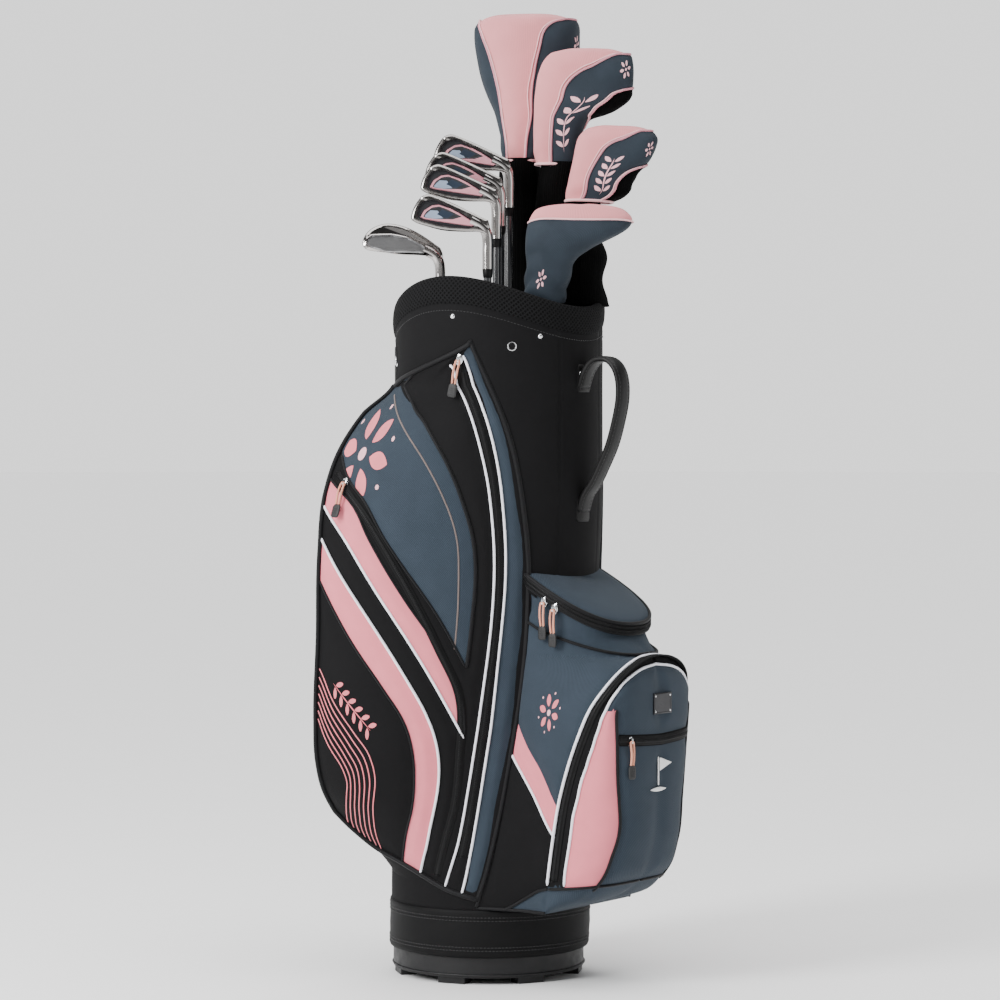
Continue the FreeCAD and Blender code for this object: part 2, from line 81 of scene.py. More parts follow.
TUBE_R_LOW, TUBE_R_TOP = 119.0, 125.5
TUBE_LEAN, LEAN_TOP = 16.0, 600.0
BASE_H = 36.0
RIM_FRONT, RIM_SIDE_RISE, RIM_BACK_DROP = 790.0, 44.0, 8.5
CUFF_Y = -TUBE_LEAN
VIEW_TURN = math.radians(-54.0)
SIDE = np.array([math.cos(VIEW_TURN), math.sin(VIEW_TURN), 0.0])
NEAR = np.array([math.sin(VIEW_TURN), -math.cos(VIEW_TURN), 0.0])
UP = np.array([0.0, 0.0, 1.0])

# Side pocket levels: height, angle of the front seam from -Y, back edge x and y.
POCKET_LEVELS = np.array([
    (94, 63.0, -98, 76), (125, 58.0, -112, 89), (160, 54.0, -127, 103), (195, 50.6, -151, 114),
    (235, 47.3, -183, 114), (270, 44.8, -195, 114), (320, 41.4, -198, 114), (420, 36.8, -193, 114),
    (520, 37.2, -190, 114), (595, 41.9, -179, 113), (645, 46.2, -156, 109), (690, 52.6, -118, 101),
    (724, 59.0, -82, 90), (748, 64.0, -82, 90), (776, 70.0, -82, 90),
])
POCKET_SPAN = 330.0
ARCH_HALF, ARCH_SHOULDER, ARCH_TOP, FRONT_LOW = 91.0, 322.0, 400.0, 93.0
RIM_LOW, RIM_HIGH, RIM_LOW_Y, RIM_HIGH_Y = 428.0, 486.0, -216.0, -112.0
LID_HINGE_Y, LID_HINGE_Z = -144.0, 481.0
COLUMN_SPAN = 190.0


# ------------------------------------------------- shapes as plain numbers

def smooth(xs, ys, x):
    """Cubic through the points (xs, ys), xs rising, held flat outside them."""
    xs = np.asarray(xs, float)
    ys = np.asarray(ys, float)
    slope = np.gradient(ys, xs)
    x = np.clip(np.asarray(x, float), xs[0], xs[-1])
    k = np.clip(np.searchsorted(xs, x) - 1, 0, len(xs) - 2)
    h = xs[k + 1] - xs[k]
    t = (x - xs[k]) / h
    return (
        (2 * t ** 3 - 3 * t ** 2 + 1) * ys[k] + (t ** 3 - 2 * t ** 2 + t) * h * slope[k]
        + (3 * t ** 2 - 2 * t ** 3) * ys[k + 1] + (t ** 3 - t ** 2) * h * slope[k + 1]
    )


def ease(x, low, high):
    t = np.clip((np.asarray(x, float) - low) / (high - low), 0, 1)
    return t * t * (3 - 2 * t)


def points(*columns):
    return np.stack(np.broadcast_arrays(*[np.asarray(c, float) for c in columns]), -1)


def bezier(poles, t):
    t = np.asarray(t, float)[..., None]
    a, b, c, d = poles
    return (1 - t) ** 3 * a + 3 * t * (1 - t) ** 2 * b + 3 * t * t * (1 - t) * c + t ** 3 * d


def unit(v):
    return v / np.maximum(np.linalg.norm(v, axis=-1, keepdims=True), 1e-9)


def resample(path, step, closed=False):
    """The same line with points at an even spacing."""
    path = np.asarray(path, float)
    if closed:
        path = np.vstack([path, path[:1]])
    gaps = np.linalg.norm(np.diff(path, axis=0), axis=1)
    along = np.concatenate([[0], np.cumsum(gaps)])
    count = max(2, int(round(along[-1] / step)) + 1)
    even = np.linspace(0, along[-1], count)
    out = np.stack([np.interp(even, along, path[:, i]) for i in range(path.shape[1])], -1)
    return out[:-1] if closed else out


def spline(control, step):
    """Smooth line through a few control points, as even points."""
    control = np.asarray(control, float)
    knots = np.concatenate([[0], np.cumsum(np.linalg.norm(np.diff(control, axis=0), axis=1) ** 0.5)])
    fine = np.linspace(0, knots[-1], 24 * len(control))
    if len(control) == 2:
        dense = np.stack([np.interp(fine, knots, control[:, i]) for i in range(control.shape[1])], -1)
    else:
        dense = np.stack([smooth(knots, control[:, i], fine) for i in range(control.shape[1])], -1)
    return resample(dense, step)


def tube_y(z):
    return -TUBE_LEAN * np.minimum(z, LEAN_TOP) / LEAN_TOP


def tube_r(z):
    return TUBE_R_LOW + (TUBE_R_TOP - TUBE_R_LOW) * np.minimum(z, LEAN_TOP) / LEAN_TOP


def on_tube(angle, z, grow=0.0):
    """Points on the tube, angle in degrees from the front towards -X."""
    a = np.radians(angle)
    r = tube_r(z) + grow
    return points(-r * np.sin(a), tube_y(z) - r * np.cos(a), z)


def from_axis(path, y):
    """Level directions out from an upright line at depth y."""
    return unit(path - points(0 * path[..., 2], y, path[..., 2]))


def saddle(angle, front, radius=TUBE_R_TOP):
    """Height of the cuff's rim at an angle round the tube."""
    a = np.radians(angle)
    x = radius * np.sin(a) / TUBE_R_TOP
    y = -radius * np.cos(a) / TUBE_R_TOP
    return front + RIM_SIDE_RISE * x ** 2 - RIM_BACK_DROP * (1 + y)


def pocket_wall(a, z):
    """Left side pocket: a runs from the front seam (0) to the back edge (POCKET_SPAN)."""
    t = np.asarray(a, float) / POCKET_SPAN
    z = np.asarray(z, float)
    heights, angles, back_x, back_y = POCKET_LEVELS.T
    angle = smooth(heights, angles, z)
    start = on_tube(angle, z, 0.5)
    end = points(smooth(heights, back_x, z), smooth(heights, back_y, z), z)
    rise = np.clip((z - 724) / 52.0, 0, 1)
    crest = on_tube(143 - 73 * rise, z, 6 * (1 - rise) + 0.5)
    end = np.where((z > 724)[..., None], crest, end)
    reach = np.linalg.norm(end - start, axis=-1)[..., None]
    turn = np.radians(angle)
    out = points(-np.cos(turn), np.sin(turn), 0 * turn)
    hug = np.arctan2(-end[..., 0], -(end[..., 1] - tube_y(z)))
    lean = ease(z, 690, 750)[..., None]
    arrive = (1 - lean) * np.array([0.15, 0.99, 0.0]) + lean * points(-np.cos(hug), np.sin(hug), 0 * hug)
    p = bezier((start, start + out * reach * 0.36, end - arrive * reach * 0.32, end), t)
    axis = points(0 * z, tube_y(z), z)
    far = np.linalg.norm(p - axis, axis=-1)
    gap = far - tube_r(z) - 0.9
    clear = (np.sqrt(gap ** 2 + 4.0) - gap) / 2 * np.clip(np.asarray(a, float) / 18.0, 0, 1)
    return axis + (p - axis) * ((far + clear) / far)[..., None]


def zip_y(z):
    """Depth of the ball pocket's arched zip."""
    return smooth((93, 160, 234, 291, 339, 370, 392, 400),
                  (-150, -159, -173, -192, -214, -231, -239, -240), z)


def arch_half(z):
    """Half width of the arched zip."""
    rise = np.clip((np.asarray(z, float) - ARCH_SHOULDER) / (ARCH_TOP - ARCH_SHOULDER), 0, 1)
    return ARCH_HALF * np.sqrt(1 - rise ** 2.3)


def rim_z(y):
    return RIM_LOW + (RIM_HIGH - RIM_LOW) * (y - RIM_LOW_Y) / (RIM_HIGH_Y - RIM_LOW_Y)


def column_plan(t, z):
    """Left half of the front column at a height: from the tube's seam to the arch or the middle."""
    seam = smooth((93, 148, 201, 253, 306, 358, 410, 500), (62, 55, 50, 46, 42, 39.3, 37.3, 36.5), z)
    start = on_tube(seam, z, 0.3)
    half = arch_half(z)
    closed = 1 - half / ARCH_HALF
    front = np.where(z < ARCH_TOP, zip_y(z), -240 + 26 * ease(z, 398, 430))
    wide = 86 - 9 * ease(z, 380, 450) - 6 * (1 - ease(z, 93, 200))
    p1 = points(-wide - 2, -128 - 24 * closed, z)
    p2x = -(half + closed * (0.6 + 0.26 * ease(z, 395, 440)) * ARCH_HALF)
    p2 = points(p2x, front + (1 - closed) * 26, z)
    return bezier((start, p1, p2, points(-half, front, z)), t)


def column_wall(a, v):
    """Front column's wall: a from the tube's seam to the arch or middle, v 0..1 up to the rim."""
    t = np.asarray(a, float) / COLUMN_SPAN
    y = column_plan(t, np.full_like(t, 440.0))[..., 1]
    top = rim_z(y)
    z = FRONT_LOW + np.asarray(v, float) * (top - FRONT_LOW)
    return column_plan(t, z)


def door_front(z):
    return smooth((94, 110, 135, 173, 230, 330, 368, 388, 400),
                  (-152, -196, -229, -246, -252, -254.5, -253, -248, -241), z)


def door_height(q):
    """Height along the arch: straight to the shoulder, then an even quarter turn."""
    straight = ARCH_SHOULDER - FRONT_LOW
    turn = np.clip((np.asarray(q, float) - straight) / 85.0, 0, math.pi / 2)
    return np.where(q < straight, FRONT_LOW + q, ARCH_SHOULDER + (ARCH_TOP - ARCH_SHOULDER) * np.sin(turn))


DOOR_Q = ARCH_SHOULDER - FRONT_LOW + 85.0 * math.pi / 2
DOOR_SPAN = 150.0


def door_wall(a, q):
    """Left half of the door: a from the zip to the middle, q along the arch."""
    t = np.asarray(a, float) / DOOR_SPAN
    z = door_height(q)
    half = arch_half(z)
    back = zip_y(z)
    front = np.minimum(door_front(z), back - 0.5)
    depth = back - front
    start = points(-half, back, z)
    p1 = points(-half, back - 1.0 * depth, z)
    p2 = points(-half * 0.58, front, z)
    return bezier((start, p1, p2, points(0 * z, front, z)), t)


# ------------------------------------------------------------ mesh helpers

class Surface:
    """A shape function of two lengths, with its outward normal."""

    def __init__(self, shape, centre=(0.0, -10.0), flip=None):
        self.shape = shape
        self.centre = centre
        self.flip = flip
        self.stand = None

    def cloth(self, ab, lift=0.0):
        """Points on top of the cloth that a patch laid on this surface."""
        ab = np.asarray(ab, float)
        return self.at(ab, self.stand(ab) + lift)

    def normals(self, ab):
        e = 0.6
        a, b = ab[:, 0], ab[:, 1]
        da = self.shape(a + e, b) - self.shape(a - e, b)
        db = self.shape(a, b + e) - self.shape(a, b - e)
        n = unit(np.cross(da, db))
        if self.flip is None:
            p = self.shape(a, b)
            out = (p[:, 0] - self.centre[0]) * n[:, 0] + (p[:, 1] - self.centre[1]) * n[:, 1]
            self.flip = bool(np.sum(out) < 0)
        return -n if self.flip else n

    def at(self, ab, lift=0.0):
        ab = np.asarray(ab, float)
        return self.shape(ab[:, 0], ab[:, 1]) + self.normals(ab) * np.asarray(lift).reshape(-1, 1)


class Mesh:
    """Points, faces, material numbers and fabric coordinates of one piece, in millimetres."""

    def __init__(self):
        self.points, self.faces, self.looks, self.flat, self.count = [], [], [], [], 0

    def add(self, pts, faces, look=0, flat=None):
        pts = np.asarray(pts, float)
        looks = look if hasattr(look, "__len__") else [look] * len(faces)
        self.faces += [tuple(int(i) + self.count for i in f) for f in faces]
        self.looks += list(looks)
        self.points.append(pts)
        self.flat.append(np.full((len(pts), 2), np.nan) if flat is None else np.asarray(flat, float))
        self.count += len(pts)
        return self

    def join(self, other):
        self.faces += [tuple(i + self.count for i in f) for f in other.faces]
        self.looks += other.looks
        self.points += other.points
        self.flat += other.flat
        self.count += other.count
        return self

    def mirrored(self):
        twin = Mesh()
        twin.points = [p * np.array([-1.0, 1.0, 1.0]) for p in self.points]
        twin.faces = [f[::-1] for f in self.faces]
        twin.looks, twin.flat, twin.count = list(self.looks), list(self.flat), self.count
        return twin


def link(name, data):
    """Puts a new object of this data in the scene."""
    obj = bpy.data.objects.new(name, data)
    bpy.context.scene.collection.objects.link(obj)
    return obj


def piece(name, mesh, body, slot, looks, replaces=(), thick=0.0, sharp=None, weld=0.0, subdivide=0):
    """Makes the Blender object, gives it fabric coordinates and rides it on its body."""
    data = bpy.data.meshes.new(name)
    pts = np.vstack(mesh.points)
    data.from_pydata((pts * MM).tolist(), [], mesh.faces)
    for look in looks:
        data.materials.append(look)
    data.polygons.foreach_set("material_index", mesh.looks)
    data.polygons.foreach_set("use_smooth", [True] * len(data.polygons))
    flat = np.vstack(mesh.flat)
    layer = data.uv_layers.new(name="fabric")
    loop_vertex = np.zeros(len(data.loops), int)
    data.loops.foreach_get("vertex_index", loop_vertex)
    normals = np.zeros(len(data.polygons) * 3)
    data.polygons.foreach_get("normal", normals)
    loop_face = np.repeat(np.arange(len(data.polygons)), [len(p.vertices) for p in data.polygons])
    facing = np.abs(normals.reshape(-1, 3))[loop_face]
    across = np.where(facing.argmax(1) == 0, 1, 0)
    above = np.where(facing.argmax(1) == 2, 1, 2)
    corner = pts[loop_vertex]
    rows = np.arange(len(corner))
    boxed = np.stack([corner[rows, across], corner[rows, above]], -1)
    uv = np.where(np.isnan(flat[loop_vertex]), boxed, flat[loop_vertex]) * MM
    layer.data.foreach_set("uv", uv.ravel())
    obj = link(name, data)
    if weld:
        add = obj.modifiers.new("weld", "WELD")
        add.merge_threshold = weld * MM
    if thick:
        add = obj.modifiers.new("thickness", "SOLIDIFY")
        add.thickness = thick * MM
        add.offset = -1.0
    if subdivide:
        add = obj.modifiers.new("subdivision", "SUBSURF")
        add.levels = add.render_levels = subdivide
    if sharp:
        data.set_sharp_from_angle(angle=math.radians(sharp))
    if body:
        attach(obj, body)
    if replaces:
        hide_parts(*replaces)
    return obj


def inside(pts, polygon):
    x, y = pts[:, 0], pts[:, 1]
    hit = np.zeros(len(pts), bool)
    for (x1, y1), (x2, y2) in zip(polygon, np.roll(polygon, -1, 0)):
        if y1 != y2:
            hit ^= ((y1 > y) != (y2 > y)) & (x < (x2 - x1) * (y - y1) / (y2 - y1) + x1)
    return hit


def distance(pts, lines):
    """Distance from each point to the nearest of some lines."""
    fine = np.vstack([resample(line, 1.5) for line in lines])
    tree = KDTree(len(fine))
    for i, p in enumerate(fine):
        tree.insert((p[0], p[1], 0.0), i)
    tree.balance()
    return np.array([tree.find((p[0], p[1], 0.0))[2] for p in pts])


def triangles(outline, seams, step):
    """Points and triangles that fill an outline and keep an edge along every seam."""
    border = resample(outline, step, closed=True)
    loop = np.vstack([border, border[:1]])
    lines = [resample(line, step) for line in seams]
    low, high = border.min(0), border.max(0)
    rows = np.arange(low[1], high[1], step * 0.87)
    grid = []
    for i, y in enumerate(rows):
        xs = np.arange(low[0] + (i % 2) * step / 2, high[0], step)
        grid.append(np.stack([xs, np.full_like(xs, y)], -1))
    grid = np.vstack(grid)
    grid = grid[inside(grid, border)]
    grid = grid[distance(grid, [loop] + lines) > step * 0.5]
    count = len(border)
    pts = [border]
    edges = [(i, (i + 1) % count) for i in range(count)]
    for line in lines:
        edges += [(count + i, count + i + 1) for i in range(len(line) - 1)]
        pts.append(line)
        count += len(line)
    pts = np.vstack(pts + [grid])
    made = delaunay_2d_cdt([Vector(p) for p in pts], edges, [], 0, 1e-3)
    verts = np.array([tuple(v) for v in made[0]])
    faces = np.array([f for f in made[2] if len(f) == 3])
    middle = verts[faces].mean(1)
    faces = faces[inside(middle, border)]
    used = np.unique(faces)
    index = np.full(len(verts), -1)
    index[used] = np.arange(len(used))
    return verts[used], index[faces], [loop] + lines


def ripple(p, wave):
    """Gentle uneven waves through space, about -1 to 1."""
    k = 2 * math.pi / wave
    x, y, z = p[:, 0] * k, p[:, 1] * k, p[:, 2] * k
    return (
        np.sin(x * 0.9 + y * 0.4 + 1.3 * np.sin(z * 0.31 + 0.5))
        + np.sin(z * 0.8 - x * 0.35 + 1.1 * np.sin(y * 0.43 + 1.7))
        + np.sin(y * 0.75 + z * 0.5 + 0.9 * np.sin(x * 0.37 + 0.2))
    ) / 3.0


def patch(surface, outline, seams=(), regions=(), step=5.0, puff=2.0, width=12.0, relief=None, base=0,
          rough=0.5, scale=1.0):
    """Fabric panels on a surface: seams stay down and the cloth between them stands up."""
    ab, faces, lines = triangles(outline, seams, step)

    def stand(at):
        off = distance(at, lines)
        raised = 1 - np.exp(-(off / width) ** 2)
        rest = surface.at(at)
        lift = puff * raised + rough * raised * ripple(rest, 70.0)
        lift = lift + 0.3 * rough * np.exp(-(off / 9.0) ** 2) * (off > 0.5) * ripple(rest, 13.0)
        return lift + relief(at) if relief else lift

    surface.stand = stand
    middle = ab[faces].mean(1)
    looks = np.full(len(faces), base)
    for polygon, look in regions:
        looks[inside(middle, np.asarray(polygon, float))] = look
    if surface.flip:
        faces = faces[:, ::-1]
    mesh = Mesh()
    mesh.add(surface.cloth(ab), faces, looks.tolist(), ab * scale)
    return mesh


def grid_mesh(rows, closed=False, look=0, mesh=None, outward=True):
    """Quads through rows of points (rows, columns, 3)."""
    rows = np.asarray(rows, float)
    n, m = rows.shape[:2]
    mesh = mesh or Mesh()
    along = np.concatenate([[0], np.cumsum(np.linalg.norm(np.diff(rows[:, 0], axis=0), axis=1))])
    side = np.concatenate([[0], np.cumsum(np.linalg.norm(np.diff(rows[n // 2], axis=0), axis=1))])
    flat = np.stack(np.meshgrid(side, along), -1).reshape(-1, 2)
    last = m if closed else m - 1
    faces = []
    for i in range(n - 1):
        for j in range(last):
            k = (j + 1) % m
            quad = (i * m + j, i * m + k, (i + 1) * m + k, (i + 1) * m + j)
            faces.append(quad if outward else quad[::-1])
    return mesh.add(rows.reshape(-1, 3), faces, look, flat)


def frames(path, closed=False, ups=None):
    """Tangent, up and side directions along a path, without twist where no ups are given."""
    if closed:
        tangent = unit(np.roll(path, -1, 0) - np.roll(path, 1, 0))
    else:
        tangent = unit(np.gradient(path, axis=0))
    if ups is None:
        start = UP if abs(tangent[0] @ UP) < 0.9 else np.array([1.0, 0.0, 0.0])
        ups = []
        for t in tangent:
            start = unit(start - t * (start @ t))
            ups.append(start)
        ups = np.array(ups)
    ups = unit(ups - tangent * np.sum(ups * tangent, -1, keepdims=True))
    return tangent, ups, np.cross(tangent, ups)


def sweep(path, profile, ups=None, closed=False, look=0, mesh=None, ends=1.0):
    """A closed profile of (side, up) pairs carried along a path, capped at its ends."""
    path = np.asarray(path, float)
    profile = np.asarray(profile, float)
    _, ups, sides = frames(path, closed, ups)
    size = np.ones(len(path))
    if not closed and ends < 1.0:
        size[0] = size[-1] = ends
    ring = (
        path[:, None, :]
        + sides[:, None, :] * (profile[None, :, 0:1] * size[:, None, None])
        + ups[:, None, :] * (profile[None, :, 1:2] * size[:, None, None])
    )
    n, m = ring.shape[:2]
    faces = []
    for i in range(n if closed else n - 1):
        h = (i + 1) % n
        for j in range(m):
            k = (j + 1) % m
            faces.append((i * m + j, h * m + j, h * m + k, i * m + k))
    if not closed:
        faces.append(tuple(range(m)))
        faces.append(tuple((n - 1) * m + j for j in reversed(range(m))))
    mesh = mesh or Mesh()
    return mesh.add(ring.reshape(-1, 3), faces, look)


def round_profile(radius, sides=8):
    turn = np.arange(sides) * 2 * math.pi / sides
    return np.stack([radius * np.cos(turn), radius * np.sin(turn)], -1)


def flat_profile(width, height, corner=0.35):
    """Flat strip section, its edges rounded off."""
    w, h = width / 2, height / 2
    c = corner * height
    return np.array([(-w, -h + c), (-w + c, -h), (w - c, -h), (w, -h + c),
                     (w, h - c), (w - c, h), (-w + c, h), (-w, h - c)])


def blocks(path, ups, pitch, size, look=0, mesh=None, lean=0.0):
    """Small bevelled blocks, such as zip teeth or stitches, at an even pitch along a path."""
    path = np.asarray(path, float)
    both = resample(np.hstack([path, ups]), pitch)
    tangent, up, side = frames(both[:, :3], ups=both[:, 3:6])
    side = side * math.cos(lean) + tangent * math.sin(lean)
    fore = np.cross(up, side)
    length, width, height = size
    plan = ((-1, -0.6), (-0.6, -1), (0.6, -1), (1, -0.6), (1, 0.6), (0.6, 1), (-0.6, 1), (-1, 0.6))
    box = np.array([(x, y, z) for z in (0.0, 0.6, 1.0) for x, y in plan])
    box[16:, :2] *= 0.62
    faces = [(r * 8 + j, r * 8 + (j + 1) % 8, (r + 1) * 8 + (j + 1) % 8, (r + 1) * 8 + j)
             for r in (0, 1) for j in range(8)]
    faces += [tuple(range(16, 24)), tuple(reversed(range(8)))]
    mesh = mesh or Mesh()
    for p, *axes in zip(both[:, :3], fore, side, up):
        mesh.add(p + (box * np.array([length / 2, width / 2, height])) @ np.array(axes), faces, look)
    return mesh


def lathe(base, axis, profile, count=32, look=0, mesh=None, side=None):
    """Surface of revolution: profile holds (radius, height) along the axis from base."""
    axis = unit(np.asarray(axis, float))
    side = np.array([1.0, 0.0, 0.0]) if side is None else side
    u = unit(np.cross(axis, side))
    v = np.cross(axis, u)
    turn = np.arange(count) * 2 * math.pi / count
    ring = np.outer(np.cos(turn), u) + np.outer(np.sin(turn), v)
    rows = [base + axis * h + ring * r for r, h in profile]
    return grid_mesh(rows, closed=True, look=look, mesh=mesh)


def zip_run(path, ups, tape=11.0, mesh=None, pitch=2.4):
    """Zip: woven tape (look 0) and a row of moulded teeth (look 1)."""
    mesh = mesh or Mesh()
    sweep(path, flat_profile(tape, 0.9), ups=ups, look=0, mesh=mesh)
    above = path + ups * 0.35
    sweep(above, flat_profile(4.6, 1.1), ups=ups, look=1, mesh=mesh)
    blocks(above + ups * 0.3, ups, pitch, (pitch * 0.52, 4.0, 0.9), look=1, mesh=mesh)
    return mesh


# -------------------------------------------------------------- materials

def new_look(name, colour, rough, metal=0.0, sheen=0.0, coat=0.0, specular=0.5):
    look = bpy.data.materials.new(name)
    look.use_nodes = True
    look.diffuse_color = (*colour, 1.0)
    shader = look.node_tree.nodes["Principled BSDF"]
    shader.inputs["Base Color"].default_value = (*colour, 1.0)
    shader.inputs["Roughness"].default_value = rough
    shader.inputs["Metallic"].default_value = metal
    shader.inputs["Sheen Weight"].default_value = sheen
    shader.inputs["Sheen Roughness"].default_value = 0.5
    shader.inputs["Coat Weight"].default_value = coat
    shader.inputs["Coat Roughness"].default_value = 0.08
    shader.inputs["Specular IOR Level"].default_value = specular
    return look


def node(look, kind, inputs=(), **settings):
    made = look.node_tree.nodes.new("ShaderNode" + kind)
    for key, value in settings.items():
        setattr(made, key, value)
    for key, value in dict(inputs).items():
        if isinstance(value, bpy.types.NodeSocket):
            look.node_tree.links.new(value, made.inputs[key])
        else:
            made.inputs[key].default_value = value
    return made


def cloth_place(look):
    return node(look, "UVMap", uv_map="fabric").outputs[0]


def solid_place(look):
    return node(look, "TexCoord").outputs["Object"]


def wave(look, place, pitch, direction):
    """Height 0..1 of straight threads with this pitch, in metres."""
    scale = (0.444 if direction == "DIAGONAL" else 0.314) / pitch
    made = node(look, "TexWave", {"Vector": place, "Scale": scale}, bands_direction=direction)
    return made.outputs["Fac"]


def mixed(look, a, b, how):
    return node(look, "Math", {0: a, 1: b}, operation=how).outputs[0]


def finish(look, height, depth, colours=None, tint=0.0, spread=40.0, rough=None):
    """Joins a height pattern to a look: bump, a dark-to-light colour and soft blotches."""
    shader = look.node_tree.nodes["Principled BSDF"]
    bump = node(look, "Bump", {"Height": height, "Distance": depth, "Strength": 0.9})
    look.node_tree.links.new(bump.outputs[0], shader.inputs["Normal"])
    base = shader.inputs["Base Color"].default_value
    low, high = colours or (0.72, 1.12)
    ramp = node(look, "ValToRGB", {"Fac": height})
    ramp.color_ramp.elements[0].color = (base[0] * low, base[1] * low, base[2] * low, 1)
    ramp.color_ramp.elements[1].color = (min(1, base[0] * high), min(1, base[1] * high),
                                         min(1, base[2] * high), 1)
    shade = ramp.outputs[0]
    if tint:
        cloud = node(look, "TexNoise", {"Vector": solid_place(look), "Scale": spread, "Detail": 3.0})
        soft = node(look, "MapRange", {"Value": cloud.outputs["Fac"], "From Min": 0.3, "From Max": 0.7,
                                       "To Min": 1 - tint, "To Max": 1 + tint})
        blend = node(look, "Mix", {0: 1.0, 6: shade, 7: soft.outputs[0]}, data_type="RGBA",
                     blend_type="MULTIPLY")
        shade = blend.outputs[2]
    look.node_tree.links.new(shade, shader.inputs["Base Color"])
    if rough:
        cloud = node(look, "TexNoise", {"Vector": solid_place(look), "Scale": spread * 3, "Detail": 4.0})
        soft = node(look, "MapRange", {"Value": cloud.outputs["Fac"], "From Min": 0.3, "From Max": 0.7,
                                       "To Min": rough[0], "To Max": rough[1]})
        look.node_tree.links.new(soft.outputs[0], shader.inputs["Roughness"])
    return look


def twill(name, colour, pitch, depth, rough=0.75, sheen=0.15, colours=(0.7, 1.15), tint=0.06):
    """Diagonal rib cut by a finer cross thread, as on woven bag cloth."""
    look = new_look(name, colour, rough, sheen=sheen, specular=0.14)
    place = cloth_place(look)
    rib = wave(look, place, pitch, "DIAGONAL")
    thread = wave(look, place, pitch * 0.62, "X")
    both = mixed(look, rib, mixed(look, thread, 0.45, "MULTIPLY"), "ADD")
    return finish(look, mixed(look, both, 0.69, "MULTIPLY"), depth, colours, tint)


def plain_weave(name, colour, pitch, depth, rough=0.8, sheen=0.2, colours=(0.75, 1.1), tint=0.05):
    look = new_look(name, colour, rough, sheen=sheen, specular=0.14)
    place = cloth_place(look)
    both = mixed(look, wave(look, place, pitch, "X"), wave(look, place, pitch, "Y"), "MULTIPLY")
    return finish(look, both, depth, colours, tint)


def grained(name, colour, scale, depth, rough, coat=0.0, metal=0.0, colours=(0.85, 1.1), range_rough=None,
            tint=0.05, specular=0.5):
    """Fine irregular grain: moulded plastic, rubber, leather or paint."""
    look = new_look(name, colour, rough, metal=metal, coat=coat, specular=specular)
    grain = node(look, "TexVoronoi", {"Vector": solid_place(look), "Scale": scale}, feature="SMOOTH_F1")
    noise = node(look, "TexNoise", {"Vector": solid_place(look), "Scale": scale * 1.7, "Detail": 4.0})
    height = mixed(look, grain.outputs["Distance"], noise.outputs["Fac"], "MULTIPLY")
    return finish(look, height, depth, colours, tint, rough=range_rough)


def brushed(name, colour, rough, stretch=(40.0, 40.0, 900.0), depth=0.00002, tint=0.04):
    """Metal with fine directional scratches."""
    look = new_look(name, colour, rough, metal=1.0)
    map_ = node(look, "Mapping", {"Vector": solid_place(look), "Scale": stretch})
    noise = node(look, "TexNoise", {"Vector": map_.outputs[0], "Scale": 3.0, "Detail": 5.0})
    return finish(look, noise.outputs["Fac"], depth, (0.9, 1.05), tint, rough=(rough * 0.7, rough * 1.35))


def holes(name, colour, pitch, depth):
    """Spacer mesh: rows of small holes, every second row moved half a pitch."""
    look = new_look(name, colour, 0.85, sheen=0.0, specular=0.1)
    place = cloth_place(look)
    map_ = node(look, "Mapping", {"Vector": place, "Scale": (1 / pitch, 1 / pitch, 1.0),
                                  "Rotation": (0, 0, 0.785)})
    cell = node(look, "TexVoronoi", {"Vector": map_.outputs[0], "Scale": 1.0, "Randomness": 0.12},
                feature="DISTANCE_TO_EDGE", voronoi_dimensions="2D")
    edge = node(look, "MapRange", {"Value": cell.outputs["Distance"], "From Min": 0.12, "From Max": 0.3,
                                   "To Min": 1.0, "To Max": 0.0})
    return finish(look, edge.outputs[0], depth, (0.1, 2.0), 0.05)


def knit(name, colour, pitch, depth):
    """Rib knit: upright wales broken by small stitches."""
    look = new_look(name, colour, 0.97, sheen=0.0, specular=0.06)
    place = cloth_place(look)
    wale = wave(look, place, pitch, "X")
    stitch = wave(look, place, pitch * 0.45, "Y")
    both = mixed(look, wale, mixed(look, stitch, 0.4, "MULTIPLY"), "ADD")
    return finish(look, mixed(look, both, 0.71, "MULTIPLY"), depth, (0.5, 1.25), 0.06)


def piping(name, colour, rough=0.55, sheen=0.1, colours=(0.75, 1.1)):
    return plain_weave("piping_" + name, colour, 0.0012, 0.0001, rough=rough, sheen=sheen, colours=colours)


def ink(name, colour, rough=0.55, colours=(0.93, 1.03)):
    return plain_weave("print_" + name, colour, 0.0017, 0.00006, rough=rough, colours=colours)


def paint(name, colour, rough=0.35, coat=0.4):
    return grained("paint_" + name, colour, 1500.0, 0.00002, rough, coat=coat)


SLATE = twill("slate_twill", (0.028, 0.040, 0.055), 0.0021, 0.00026, sheen=0.05, colours=(0.6, 1.22))
PINK = plain_weave("pink_cloth", (0.76, 0.205, 0.250), 0.0011, 0.00008, rough=0.6, sheen=0.05,
                   colours=(0.9, 1.04), tint=0.03)
BLACK = plain_weave("black_cloth", (0.0052, 0.0050, 0.0056), 0.0013, 0.00016, rough=0.8, sheen=0.0)
NYLON = twill("black_nylon", (0.0028, 0.0028, 0.0031), 0.0012, 0.00012, rough=0.6, sheen=0.0)
PIPE_WHITE = piping("white", (0.93, 0.93, 1.0), rough=0.5, colours=(0.92, 1.0))
PIPE_PINK = piping("pink", (0.62, 0.26, 0.31), colours=(0.88, 1.05))
PIPE_BLACK = piping("black", (0.006, 0.006, 0.007), sheen=0.05)
MESH = holes("collar_mesh", (0.0040, 0.0040, 0.0043), 0.0040, 0.0006)
KNIT = knit("sock_knit", (0.0022, 0.0022, 0.0023), 0.0026, 0.0004)
TEETH = grained("zip_teeth", (0.0045, 0.0045, 0.005), 900.0, 0.00003, 0.42, specular=0.16)
